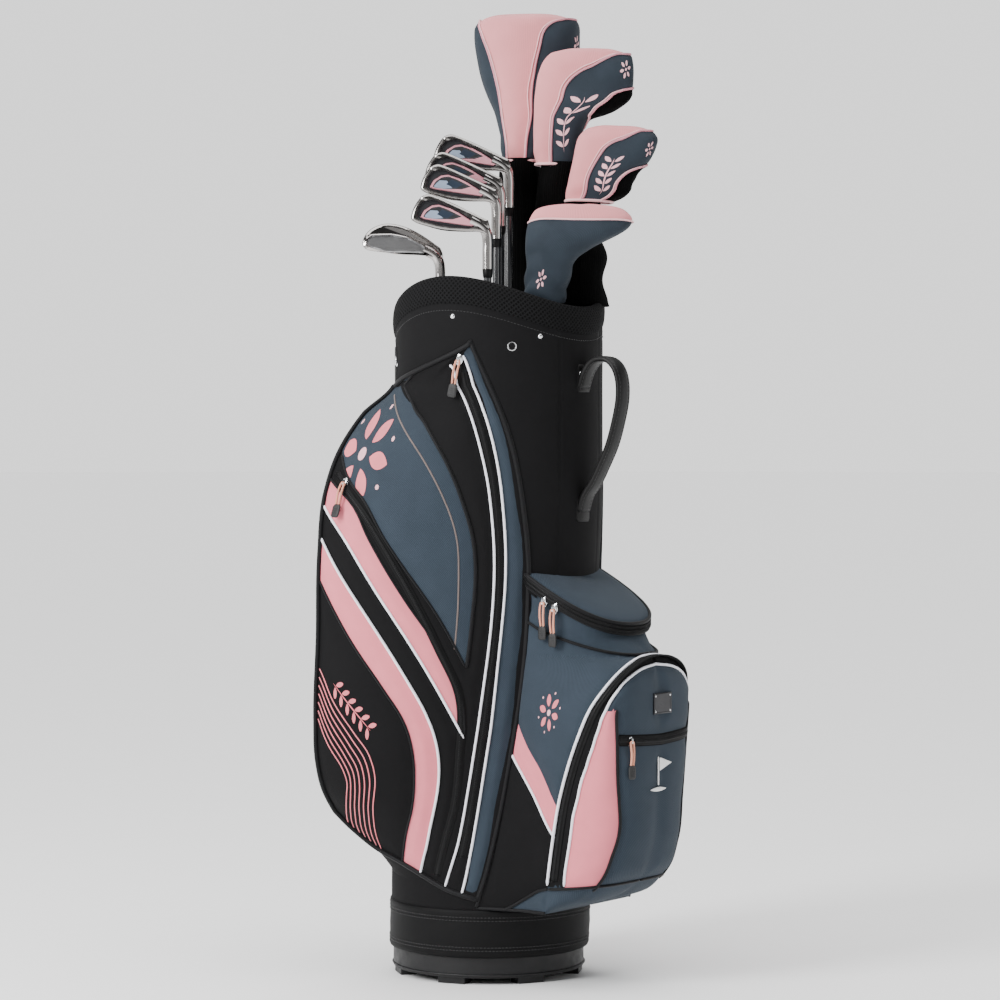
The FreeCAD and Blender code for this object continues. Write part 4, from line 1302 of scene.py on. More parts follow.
def make_plate():
    """Small metal plate with turned edges, held by four pins."""
    low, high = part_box("name_plate")
    low, high = np.array(low) / MM, np.array(high) / MM
    mid = (low + high) / 2
    w, h = (high[0] - low[0]) / 2, (high[2] - low[2]) / 2
    plate = Mesh()
    rows = []
    for inset, out in ((0.0, 0.0), (0.0, 1.2), (0.7, 1.9), (1.8, 2.1), (2.4, 1.6), (9.0, 1.6)):
        rows.append([(mid[0] + sx * (w - inset), low[1] + 1.6 - out - 0.6, mid[2] + sz * (h - inset))
                     for sx, sz in ((-1, -1), (0, -1), (1, -1), (1, 1), (0, 1), (-1, 1))])
    grid_mesh(rows, closed=True, mesh=plate, outward=True)
    plate.faces.append(tuple(30 + j for j in range(6)))
    plate.looks.append(0)
    piece("name_plate_metal", plate, "ball_pocket_door", "plate_metal", [PLATE], sharp=30,
          replaces=["name_plate"])
    pins = Mesh()
    for sx in (-1, 1):
        for sz in (-1, 1):
            foot = np.array([mid[0] + sx * (w - 3.2), low[1] - 0.4, mid[2] + sz * (h - 3.2)])
            lathe(foot, (0, -1, 0), [(1.5, -0.6), (1.4, 0.3), (0.8, 0.7), (0.03, 0.8)], 12, mesh=pins)
    piece("name_plate_pins", pins, "ball_pocket_door", "chrome_trim", [CHROME])


def lid_outline(grow, count=33):
    """Left half of the cooler's plan, from the tube to the middle."""
    t = np.linspace(0, 1, count)
    p = column_plan(t, np.full(count, 450.0))
    out = unit(p[:, :2] - np.array([0.0, -120.0]))
    return p[:, :2] + out * grow


def lid_path(grow, rise):
    line = lid_outline(grow)
    return whole(points(line[:, 0], line[:, 1], rim_z(line[:, 1]) + rise))


def make_cooler():
    """Lid over the cooler pocket: crowned top cloth, piping and a double zip under its edge."""
    ring = whole(lid_outline(2.6))
    heart = np.array([0.0, -128.0])
    rows = []
    steps = [(1.0, 2.0), (1.004, 6.5), (0.985, 10.5), (0.94, 13.0), (0.86, 15.2), (0.7, 17.4), (0.5, 19.0),
             (0.3, 20.0), (0.1, 20.5)]
    for share, rise in steps:
        xy = heart + (ring - heart) * share
        rows.append(points(xy[:, 0], xy[:, 1], rim_z(xy[:, 1]) + rise))
    top = grid_mesh(rows, outward=False)
    count = len(ring) - 1
    top.looks = [1 if k < count else 0 for k in range(len(top.faces))]
    lid = piece("cooler_lid_cloth", top, None, "slate_fabric", [SLATE, NYLON], thick=2.0,
                replaces=["cooler_lid"])
    apply_modifiers(lid)
    edge = Mesh()
    for grow, rise, radius in ((4.4, 11.5, 2.5), (3.4, -1.5, 2.0)):
        sweep(lid_path(grow, rise), round_profile(radius), mesh=edge, ends=0.6)
    edge_obj = piece("cooler_lid_piping", edge, None, "black_fabric", [PIPE_BLACK])
    teeth = Mesh()
    for rise in (7.2, 2.4):
        path = lid_path(4.9, rise)
        ups = unit(np.stack([path[:, 0], path[:, 1] + 128.0, 0 * path[:, 0]], -1))
        zip_run(path, ups, tape=5.4, mesh=teeth, pitch=2.2)
    teeth_obj = piece("cooler_lid_zips", teeth, None, "black_nylon", [NYLON, TEETH])
    start, end = ((0, (LID_HINGE_Y + step) * MM, LID_HINGE_Z * MM) for step in (5, -5))
    for obj in (lid, edge_obj, teeth_obj):
        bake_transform(obj)
        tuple(start)
        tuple(end)
    corner = Mesh()
    for side in (-1, 1):
        line = lid_outline(1.4)[:5] * np.array([-side, 1.0])
        rows = [points(line[:, 0], line[:, 1], rim_z(line[:, 1]) - 7 + h) for h in (-1, 5, 11, 17)]
        grid_mesh(rows, mesh=corner, outward=side > 0)
    piece("cooler_corner_patches", corner, "bag", "black_fabric", [BLACK], thick=1.0)


def apply_modifiers(obj):
    """Turns the object's modifiers into mesh, so that the final shape can bend."""
    graph = bpy.context.evaluated_depsgraph_get()
    made = bpy.data.meshes.new_from_object(obj.evaluated_get(graph))
    obj.modifiers.clear()
    obj.data = made
    return obj


# ------------------------------------------------------- handle and zip pulls

def make_handle():
    """Leather grab handle: a stitched strap between two riveted ends."""
    route = [(-141.8, 722), (-150, 742), (-160, 753), (-172, 756.5), (-184, 754), (-193.5, 745), (-199, 730),
             (-199.5, 708), (-193.5, 680), (-184.5, 652), (-172.5, 628), (-160, 606), (-148, 590),
             (-141.8, 572)]
    line = spline([(0.0, y, z) for y, z in route], 4.0)
    ups = np.cross(np.array([1.0, 0.0, 0.0]), unit(np.gradient(line, axis=0)))
    low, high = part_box("handle_strap")
    width = (high[0] - low[0]) / MM
    under = [(-width / 2, -1.2), (-width / 2 + 1.0, -2.6), (-3.5, -3.4),
             (3.5, -3.4), (width / 2 - 1.0, -2.6), (width / 2, -1.2)]
    section = under + [(x, -h) for x, h in reversed(under)]
    strap = sweep(line, section, ups=ups)
    piece("handle_leather", strap, "bag", "strap_leather", [LEATHER], replaces=["handle_strap"])
    thread = Mesh()
    for side in (-1, 1):
        for face in (-1, 1):
            path = line + np.array([side * (width / 2 - 3.0), 0, 0]) + ups * face * 2.5
            blocks(path, ups * face, 4.6, (3.2, 0.9, 0.6), mesh=thread)
    piece("handle_stitches", thread, "bag", "strap_leather", [THREAD])
    ends = Mesh()
    for z in (733, 576):
        rows = np.array([(0.0, tube_y(z) - tube_r(z) - 1.0, z + h) for h in np.linspace(-17, 17, 9)])
        sweep(rows, flat_profile(27, 3.0, 0.4), ups=np.tile((0.0, -1.0, 0.0), (9, 1)), mesh=ends, ends=0.85)
    piece("handle_anchor_patches", ends, "bag", "strap_leather", [LEATHER])
    rivets = Mesh()
    dome = [(3.9, -0.6), (3.9, 0.5), (3.2, 1.5), (1.8, 2.2), (0.04, 2.4)]
    for x, z in ((-7, 738), (7, 738), (0, 728), (-6, 575), (6, 575)):
        foot = np.array([x, tube_y(z) - tube_r(z) - 2.4, z])
        lathe(foot, (0, -1, 0), dome, 18, mesh=rivets)
    piece("handle_rivet_heads", rivets, "bag", "chrome_trim", [CHROME], replaces=["handle_rivets"])


CORD_R, CORD_LEN = 1.35, 26.0
TAB_W, TAB_T, TAB_H = 11.0, 2.8, 17.0
SLIDER_PLAN = ((-0.75, -1), (0.75, -1), (1, -0.5), (1, 0.3), (0.55, 1), (-0.55, 1), (-1, 0.3), (-1, -0.5))


def pull_frame(pull):
    """Eye, hinge axis, hanging direction and outward direction of a CAD zip pull."""
    joint = next(j for j in frame["joints"] if j["child"] == pull)
    eye = np.array(joint["pos_m"]) / MM
    axis = unit(np.array(joint["axis"], float))
    co = np.array([v.co for v in frame["nodes"][pull].data.vertices]) / MM
    down = co.mean(0) - eye
    down = unit(down - axis * (down @ axis))
    out = np.cross(axis, down)
    if out @ (eye - np.array([0.0, -10.0, eye[2]])) < 0:
        out = -out
    return eye, axis, down, out


def make_pull(pull, slider_body):
    """Braided cord loop and ribbed rubber tab; gives back the slider's mesh for its body."""
    eye, axis, down, out = pull_frame(pull)
    loop = []
    for k in range(9):
        turn = math.pi * k / 8
        loop.append(eye + axis * (2.3 * math.cos(turn)) - down * (1.9 * math.sin(turn)))

    def leg(width, draw, bow):
        return [eye + axis * width * (1 - draw * s) + down * CORD_LEN * s + out * bow * math.sin(math.pi * s)
                for s in (0.25, 0.5, 0.75, 1.03)]

    right, left = leg(-2.3, 0.15, 1.1), leg(2.9, 0.3, 1.6)
    cord = sweep(spline(left[::-1] + loop + right, 1.4), round_profile(CORD_R, 10))
    piece(pull + "_cord", cord, pull, "pull_cord", [CORD], replaces=[pull])
    tab = Mesh()
    outline = [(-TAB_W / 2 + 2.2, 0), (TAB_W / 2 - 2.2, 0), (TAB_W / 2, 3.4), (TAB_W / 2, TAB_H - 2),
               (TAB_W / 2 - 2, TAB_H),
               (-TAB_W / 2 + 2, TAB_H), (-TAB_W / 2, TAB_H - 2), (-TAB_W / 2, 3.4)]
    rows = []
    for inset, side in ((2.2, -1.0), (0.5, -0.85), (0.0, -0.4), (0.0, 0.4), (0.5, 0.85), (2.2, 1.0)):
        ring = []
        for x, h in outline:
            x2 = x - math.copysign(min(inset, abs(x)), x)
            h2 = min(max(h, inset), TAB_H - inset)
            ring.append(eye + axis * x2 + down * (CORD_LEN + h2) + out * side * TAB_T / 2)
        rows.append(ring)
    grid_mesh(rows, closed=True, mesh=tab)
    tab.faces += [tuple(range(8)), tuple(40 + j for j in reversed(range(8)))]
    tab.looks += [0, 0]
    for k in range(4):
        bar = [eye + axis * x + down * (CORD_LEN + 6 + 2.6 * k) + out * TAB_T / 2 for x in (-3.4, 0.0, 3.4)]
        sweep(np.array(bar), round_profile(0.75, 6), mesh=tab, ends=0.5)
    piece(pull + "_tab", tab, pull, "zip_metal", [RUBBER], sharp=50)
    slider = Mesh()
    foot = eye - out * 5.6 - down * 3.0
    for lift, half_w, half_h in ((0.9, 4.2, 6.4), (2.9, 3.4, 5.2)):
        rows = []
        for grow, h in ((-0.9, -0.9), (0.0, -0.3), (0.0, 0.3), (-0.9, 0.9)):
            w, length = half_w + grow, half_h + grow
            rows.append([foot + axis * (w * x) + down * (length * y) + out * (lift + h) for x,
                         y in SLIDER_PLAN])
        start = slider.count
        grid_mesh(rows, closed=True, mesh=slider)
        slider.faces += [tuple(start + j for j in reversed(range(8))),
                         tuple(start + 24 + j for j in range(8))]
        slider.looks += [0, 0]
    hoop = ((-4.4, 3.2), (-3.6, 5.2), (0.0, 6.2), (3.2, 5.8), (4.4, 3.2))
    bridge = [foot + down * y + out * h for y, h in hoop]
    sweep(spline(bridge, 1.0), flat_profile(2.6, 1.1), mesh=slider)
    return slider_body, slider


def make_pulls():
    groups = {}
    for joint in frame["joints"]:
        name = joint["child"]
        if "zip_pull" in name:
            body, slider = make_pull(name, joint["parent"])
            groups.setdefault(body + "|" + name.split("_zip")[0], []).append(slider)
    stands = {"side": ["side_zip_sliders"], "cooler": ["cooler_zip_sliders"], "front": ["front_zip_slider"]}
    for key, sliders in groups.items():
        body, family = key.split("|")
        joined = Mesh()
        for slider in sliders:
            joined.join(slider)
        piece(family + "_zip_slider_bodies", joined, body, "zip_metal", [CHROME], sharp=40,
              replaces=stands[family])


# --------------------------------------------------------------------- clubs

FLOOR_Z, CLUB_REST = 60.0, 0.5
HOSEL_LEN = 58.0
GRIP_LEN = 265.0
IRON_OUTLINE = [(0, 1), (36, 18), (62, 29.5), (71, 32), (79, 29), (86, 20), (90.5, 9), (91, 2), (86, -2),
                (70, -7), (55, -10.5), (30, -12.5), (12, -13), (5, -15), (0, -18), (-2, -9)]
WEDGE_OUTLINE = [(0, 3), (14, 13), (29, 22), (45, 29), (60, 32.5), (72, 32), (84, 27), (92, 19), (95.5, 8),
                 (91, 1), (70, -2.5), (47, -5), (26, -6), (12, -8), (5, -12), (0, -18), (-3, -6)]
CLUBS = {
    "driver": ((76, 8), (0, 0), 1060), "fairway": ((78, -30), (0.002, -0.021), 1030),
    "hybrid": ((40, -87.5), (0.021, -0.0125), 968), "iron_7": ((10, -23.7), (0, 0), 1001),
    "iron_8": ((-20, -32.8), (0, 0), 977), "iron_9": ((-46.7, -46.2), (0, 0), 960),
    "pitching_wedge": ((-77, -55), (0, 0), 922), "sand_wedge": ((-15.4, 63.1), (0, 0), 892),
    "putter": ((-13, -100), (0, 0), 905),
}
IRONS = ("iron_7", "iron_8", "iron_9", "pitching_wedge")


def club_place(name):
    """Turns (side, near, height) offsets about a club's axis into points in space."""
    (x, y), (lean_x, lean_y), _ = CLUBS[name]
    axis = unit(np.array([lean_x, lean_y, 1.0]))
    flat_side = unit(np.cross(UP, axis)) if lean_x or lean_y else SIDE
    turn = math.acos(float(axis @ UP))

    def spin(v):
        if turn < 1e-6:
            return v
        c, s = math.cos(turn), math.sin(turn)
        return v * c + np.cross(flat_side, v) * s + flat_side * (v @ flat_side)[..., None] * (1 - c)

    def place(side, near, height):
        v = (np.asarray(side, float)[..., None] * SIDE + np.asarray(near, float)[..., None] * NEAR
             + (np.asarray(height, float)[..., None] - FLOOR_Z) * UP)
        return spin(v) + np.array([x, y, FLOOR_Z + CLUB_REST])

    return place


def tapered(path, ups, wide, high, mesh, look=0, sides=20):
    """Round bar whose half width and half height change along its path."""
    _, ups, across = frames(np.asarray(path, float), ups=ups)
    turn = np.arange(sides) * 2 * math.pi / sides
    rows = [p + np.outer(np.cos(turn) * w, a) + np.outer(np.sin(turn) * h, u)
            for p, a, u, w, h in zip(path, across, ups, wide, high)]
    return grid_mesh(rows, closed=True, look=look, mesh=mesh, outward=False)


def blade(name, outline, tilt, sole, looks, lines, regions, relief):
    """Cavity-back blade: shaped back, rounded rim and a grooved face."""
    heel = CLUBS[name][2]
    place = club_place(name)
    edge = spline(outline + [outline[0]], 1.6)[:-1]
    deepest = -min(q * math.cos(tilt) - p * math.sin(tilt) for p, q in outline)

    def depth(p, q):
        return np.clip(-(q * math.cos(tilt) - p * math.sin(tilt)) / deepest, -0.05, 1.05)

    def back(a, b):
        d = depth(a, b)
        near = -12 + 19 * d + sole + (4.5 - sole) * d
        return place(-np.asarray(a, float), near, heel + np.asarray(b, float))

    def front(a, b):
        return place(-np.asarray(a, float), -12 + 19 * depth(a, b), heel + np.asarray(b, float))

    def off_edge(ab):
        return distance(ab, [np.vstack([edge, edge[:1]])])

    mesh = Mesh()
    ab, faces, _ = triangles(edge, lines + [inset(edge, 1.0), inset(edge, 2.4)], 1.5)
    drop = relief(ab, off_edge(ab), depth(ab[:, 0], ab[:, 1]) * deepest)
    middle = ab[faces].mean(1)
    paint = np.zeros(len(faces), int)
    for polygon, look in regions:
        paint[inside(middle, np.asarray(polygon, float))] = look
    skin = back(ab[:, 0], ab[:, 1]) + NEAR * drop[:, None]
    mesh.add(skin, faces, paint.tolist())
    rim_back = back(edge[:, 0], edge[:, 1]) - NEAR * 1.2
    rim_front = front(edge[:, 0], edge[:, 1])
    middle_rim = (rim_back + rim_front) / 2
    away = unit(edge - edge.mean(0))
    swell = -SIDE * away[:, :1] + UP * away[:, 1:]
    rows = [rim_back, rim_back * 0.8 + rim_front * 0.2 + swell * 0.7, middle_rim + swell * 1.0,
            rim_back * 0.12 + rim_front * 0.88 + swell * 0.6, rim_front]
    grid_mesh(rows, closed=True, look=0, mesh=mesh)
    ab, faces, _ = triangles(edge, [], 3.0)
    mesh.add(front(ab[:, 0], ab[:, 1]), faces[:, ::-1], 0)
    path = [(20, 1), (12, -3), (5, -8), (1.2, -15), (0, -24), (0, -40), (0, -HOSEL_LEN)]
    bend = spline(path, 2.0)
    route = place(-bend[:, 0], np.zeros(len(bend)), heel + bend[:, 1])
    along = np.linspace(0, 1, len(bend))
    wide = 6.5 + 0.6 * np.exp(-along * 5)
    tapered(route, np.tile(NEAR, (len(route), 1)), wide, wide, mesh, look=1)
    obj = piece(name + "_head_metal", mesh, name, "club_steel", looks, weld=0.05, sharp=38,
                replaces=[name + "_head"])
    ferrule = Mesh()
    profile = [(6.5, 0.2), (6.5, -1.0), (6.25, -1.3), (6.4, -2.0), (5.7, -9.0), (5.2, -10.5), (4.2, -10.6)]
    foot = place(0.0, 0.0, heel - HOSEL_LEN)
    lathe(foot, place(0.0, 0.0, heel) - foot, profile[::-1], 24, mesh=ferrule)
    piece(name + "_ferrule", ferrule, name, "grip_rubber", [TEETH], sharp=30)
    grooves = Mesh()
    for k in range(9):
        shift = 4.0 + 3.1 * k
        p = np.linspace(22, 66, 12)
        row = np.stack([p, math.tan(tilt) * p - shift / math.cos(tilt)], -1)
        row = row[inside(row, edge) & (off_edge(row) > 2.5)]
        if len(row) > 2:
            line = front(row[:, 0], row[:, 1]) - NEAR * 0.05
            sweep(line, flat_profile(0.9, 0.3), ups=np.tile(-NEAR, (len(line), 1)), mesh=grooves)
    piece(name + "_face_grooves", grooves, name, "club_steel", [DARK])
    return obj


CAVITY = [(84, 16.4), (78, 24), (64.5, 26.3), (55, 21.7), (47.5, 18), (33, 10.7), (12.5, -2), (11.5, -6.4),
          (23.5, -9.6), (52.5, -6.6), (76.5, -1), (86, 4)]
BADGE = [(81, 4.3), (76.5, 12.7), (67, 18.8), (58.5, 20), (47.5, 16.2), (33, 9), (14, -3), (13, -5),
         (19, -6.8), (43, -3.4), (62, -0.6), (76.5, 1.8)]
BADGE_INNER = [(77.5, 5), (74, 11), (66.5, 16.2), (58, 17.4), (48, 13.8), (36, 7.6), (31, 5), (42, 1.6),
               (62, 1.8), (75, 3.6)]
BADGE_DIAMOND = [(61, 7.9), (55, 14.2), (40, 7.9), (49.5, 2.4)]
BADGE_LIGHT = [(76, 6), (69, 12.7), (60, 12.2), (54, 3), (65.8, 2.4), (75, 4)]
WEDGE_PANEL = [(91, 14), (85, 18.6), (60, 19.4), (40, 15.6), (22.8, 7), (14, -1.6), (20, -3.8), (67, -2.8),
               (87, 3), (92.5, 9)]


def inset(outline, depth):
    """Closed line at a distance inside an outline."""
    ring = resample(np.asarray(outline, float), 1.1, closed=True)
    if np.sum(ring[:, 0] * np.roll(ring[:, 1], -1) - np.roll(ring[:, 0], -1) * ring[:, 1]) < 0:
        ring = ring[::-1]
    run = unit(np.roll(ring, -1, 0) - np.roll(ring, 1, 0))
    moved = ring + np.stack([-run[:, 1], run[:, 0]], -1) * depth
    moved = moved[distance(moved, [np.vstack([ring, ring[:1]])]) > depth * 0.96]
    return np.vstack([moved, moved[:1]])


def sunk_into(ab, outline, slope):
    """0 on and outside an outline, 1 inside it past a sloping wall."""
    ring = closed(outline)
    off = distance(ab, [ring])
    return inside(ab, ring[:-1]) * ease(off, 0.0, slope), off


def iron_relief(ab, rim, below):
    """Raised sole band and rim round a cavity, with a badge standing in it."""
    cavity, _ = sunk_into(ab, CAVITY, 1.6)
    badge, _ = sunk_into(ab, BADGE, 1.0)
    line, _ = sunk_into(ab, BADGE_INNER, 0.8)
    ledge = ease(below, 6.2, 7.6) * (1 - cavity)
    return -1.3 * np.exp(-(rim / 1.3) ** 2) - 4.4 * cavity + 3.2 * badge - 0.7 * line - 0.8 * ledge


def wedge_relief(ab, rim, below):
    sunk, off = sunk_into(ab, WEDGE_PANEL, 1.8)
    return -1.5 * np.exp(-(rim / 1.6) ** 2) - 1.7 * sunk + 0.5 * np.exp(-(off / 0.9) ** 2)


def closed(outline):
    return np.array(list(outline) + [outline[0]], float)


def make_blades():
    tilt = math.radians(23.8)
    looks = [STEEL, BRIGHT, BRIGHT, DARK, PAINT_PINK, PAINT_BLUE, PAINT_SLATE]
    regions = [(CAVITY, 3), (BADGE, 4), (BADGE_INNER, 3), (BADGE_LIGHT, 5), (BADGE_DIAMOND, 6)]
    seams = [closed(line) for line in (CAVITY, BADGE, BADGE_INNER, BADGE_LIGHT, BADGE_DIAMOND)]
    seams += [inset(CAVITY, 1.6), inset(BADGE, 1.0)]
    for name in IRONS:
        blade(name, IRON_OUTLINE, tilt, 17.0, looks, seams, regions, iron_relief)
    seams = [closed(WEDGE_PANEL), inset(WEDGE_PANEL, 1.8)]
    blade("sand_wedge", WEDGE_OUTLINE, math.radians(21.0), 15.0, [BRIGHT, BRIGHT, CAST], seams,
          [(WEDGE_PANEL, 2)], wedge_relief)


def make_woods():
    """Rounded wood and hybrid heads, which the headcovers hide."""
    sizes = {"driver": (52, 36, 44, 14, -32, 58), "fairway": (42, 17, 22, 33, 2, 70),
             "hybrid": (34, 17, 19, 28, 2, 42)}
    for name, (a, b, c, side, near, rise) in sizes.items():
        place = club_place(name)
        heel = CLUBS[name][2]
        mesh = Mesh()
        rows = []
        turn = np.linspace(0, 2 * math.pi, 49)[:-1]
        for lift in np.linspace(-math.pi / 2 + 0.02, math.pi / 2 - 0.02, 25):
            flat = np.abs(math.cos(lift)) ** 0.8
            x = a * flat * np.sign(np.cos(turn)) * np.abs(np.cos(turn)) ** 0.9
            y = b * flat * np.sin(turn)
            y = np.where(y > b * 0.62, b * 0.62 + (y - b * 0.62) * 0.15, y)
            rows.append(place(side + x, near + y, heel + rise + c * math.sin(lift) * np.ones_like(x)))
        grid_mesh(rows, closed=True, mesh=mesh)
        count = len(mesh.faces)
        mesh.looks = [1 if (i // 48) < 6 else 2 if (i // 48) == 6 else 0 for i in range(count)]
        hosel = [place(0.0, 0.0, heel - 14), place(0.0, 0.0, heel), place(2.0, 0.0, heel + rise * 0.5),
                 place(6.0, 0.0, heel + rise)]
        tapered(spline(hosel, 3.0), None, np.full(40, 6.8), np.full(40, 6.8), mesh, look=0)
        piece(name + "_head_shell", mesh, name, "wood_paint", [PAINT_SLATE, CAST, PAINT_PINK],
              replaces=[name + "_head"])


def make_grips():
    """Ringed rubber grips."""
    for name in CLUBS:
        place = club_place(name)
        foot = place(0.0, 0.0, FLOOR_Z)
        axis = place(0.0, 0.0, FLOOR_Z + GRIP_LEN) - foot
        butt = 14.0 if name == "putter" else 13.2
        profile = [(0.05, 0.2), (butt * 0.7, 0.0), (butt, 1.6), (butt, 5.0), (butt - 0.8, 6.0)]
        for k in range(30):
            f = k / 30
            r = butt + (9.4 - butt) * f - 0.5
            h = 8 + 250 * f
            profile += [(r, h), (r + 0.45, h + 1.4), (r + 0.45, h + 5.6), (r, h + 7.0)]
        profile += [(9.3, GRIP_LEN - 4), (8.6, GRIP_LEN - 0.6), (7.4, GRIP_LEN)]
        grip = lathe(foot, axis, profile, 22)
        piece(name + "_grip_rubber", grip, name, "grip_rubber", [GRIP], replaces=[name + "_grip"])


# ---------------------------------------------------------------- headcovers

# Levels of each cover: height, lowest and highest side offset, lowest and highest near offset.
COVER_LEVELS = {
    "driver": [(1004, -21, 25, -25, 22), (1030, -22, 30, -34, 22), (1065, -28, 50, -57, 21),
               (1103, -43, 67, -74, 17), (1140, -52, 75, -79, 13), (1166, -55, 76, -79, 11),
               (1177, -54, 76, -76, 9), (1183, -50, 74, -70, 6)],
    "fairway": [(998, -28, 24, -20, 22), (1030, -30, 27, -21, 23), (1046, -30, 31, -22, 24),
                (1057, -30, 40, -22, 24), (1068, -29.7, 65, -22, 24), (1077, -29.5, 84, -22, 25),
                (1094, -28.5, 90, -22, 25), (1112, -26, 91, -21, 24), (1128, -20, 90, -19, 21),
                (1136, -13, 88, -15, 17)],
    "hybrid": [(950, -19, 36, -20, 21), (957, -18.5, 52, -20, 21), (964, -17.5, 60, -21, 22),
               (974, -15, 62, -21, 23), (986, -12, 68, -22, 23), (997, -10, 79, -22, 23),
               (1006, -8, 85, -22, 23), (1018, -6, 89, -21, 22), (1031, -2, 92, -19, 20),
               (1038, 5, 87, -16, 16)],
    "putter": [(824, -33, 18, -21, 22), (842, -29, 22, -22, 23), (860, -26, 26, -22, 24),
               (874, -25, 30, -21, 23), (884, -25, 37, -21, 23), (892, -25.5, 50, -22, 25),
               (904, -26, 76, -23, 26), (918, -25, 100, -22, 25), (928, -22, 101, -19, 21),
               (936, -16, 92, -13, 15)],
}
COVER_TOP = {"driver": 6.5, "fairway": 6.0, "hybrid": 5.5, "putter": 6.5}
CAP = 40.0


def cover_surface(name):
    place = club_place(name)
    level = np.array(COVER_LEVELS[name], float)
    top = level[-1, 0]

    def shape(a, b):
        a, b = np.asarray(a, float), np.asarray(b, float)
        z = np.minimum(b, top)
        k = np.clip((b - top) / CAP, 0, 1)
        side_low, side_high, near_low, near_high = [smooth(level[:, 0], edge, z) for edge in level.T[1:]]
        turn = np.radians(a)
        s, c = np.sin(turn), np.cos(turn)
        power = 0.80
        mid_s, half_s = (side_low + side_high) / 2, (side_high - side_low) / 2
        mid_n, half_n = (near_low + near_high) / 2, (near_high - near_low) / 2
        size = 1 - k ** 1.15
        side = mid_s + half_s * size * np.sign(s) * np.abs(s) ** power
        near = mid_n + half_n * size * np.sign(c) * np.abs(c) ** power
        rise = COVER_TOP[name] * np.sin(np.minimum(k * 1.35, 1.0) * math.pi / 2)
        return place(side, near, z + rise)

    return shape, top


# Edges of the pink panel, and of the dark underside: (height share, angle in degrees from the near side).
PINK_RIGHT = {
    "driver": [(0.0, 9), (0.08, 8.7), (0.25, 5.4), (0.43, 2), (0.65, 4.5), (0.79, 8.5), (0.92, 14),
               (0.97, 22), (1.0, 42)],
    "fairway": [(0.0, -12), (0.35, -14), (0.55, -22), (0.72, -18), (0.88, 2), (0.96, 18), (1.0, 34)],
    "hybrid": [(0.0, -16), (0.3, -22), (0.55, -20), (0.75, -12), (0.9, 6), (0.96, 18), (1.0, 32)],
}
DRIVER_LEFT = [(0.0, -43), (0.08, -44), (0.3, -54), (0.52, -43), (0.75, -47), (0.9, -58), (0.97, -68),
               (1.0, -78)]
UNDER_EDGE = {
    "fairway": [(0.33, 90), (0.41, 70), (0.464, 40), (0.537, 25), (0.628, 30), (0.674, 47), (0.71, 90)],
    "hybrid": [(-0.02, 21), (0.057, 23), (0.25, 25), (0.43, 40), (0.52, 70), (0.545, 90)],
}
TURN_LOW = {"driver": -180, "fairway": -270, "hybrid": -270, "putter": -180}


def cover_lines(name, low, top):
    """Seams on a cover as (angle, height), and its coloured panels."""
    span = top - low
    first = TURN_LOW[name]
    if name == "putter":
        crown = spline([(-180, 921), (-90, 921), (-45, 925), (0, 924), (45, 924), (90, 922), (180, 921)],
                       4.0)
        return {"crown": crown}, [(np.vstack([crown, [(185, top + CAP + 3), (-185, top + CAP + 3)]]), 1)]
    right = [(angle, low + share * span) for share, angle in PINK_RIGHT[name]]
    if name == "driver":
        right += [(75, top + 1.5), (120, top + 2.5), (180, top + 2.5)]
        left = [(angle, low + share * span) for share, angle in DRIVER_LEFT]
        left += [(-110, top + 2), (-180, top + 2.5)]
    else:
        right += [(60, top + 1.5), (90, top + 2.0)]
        left = [(-180 - angle, z) for angle, z in right]
    lines = {"right": spline(right, 3.0), "left": spline(left, 3.0)}
    high = [(first + 360, top + CAP + 5), (first, top + CAP + 5)]
    regions = [(np.vstack([lines["right"], high, lines["left"][::-1]]), 1)]
    if name in UNDER_EDGE:
        near = np.array([(angle, low + share * span) for share, angle in UNDER_EDGE[name]])
        far = near * np.array([-1.0, 1.0]) + np.array([-180.0, 0.0])
        for key, line, out in (("under_near", near, 96.0), ("under_far", far, -276.0)):
            line = spline(line, 3.0)
            lines[key] = line
            regions.append((np.vstack([line, [(out, line[-1, 1]), (out, line[0, 1])]]), 2))
    return lines, regions


SWELL_FRAMES, SWELL_TRAVEL = 20, 3.2


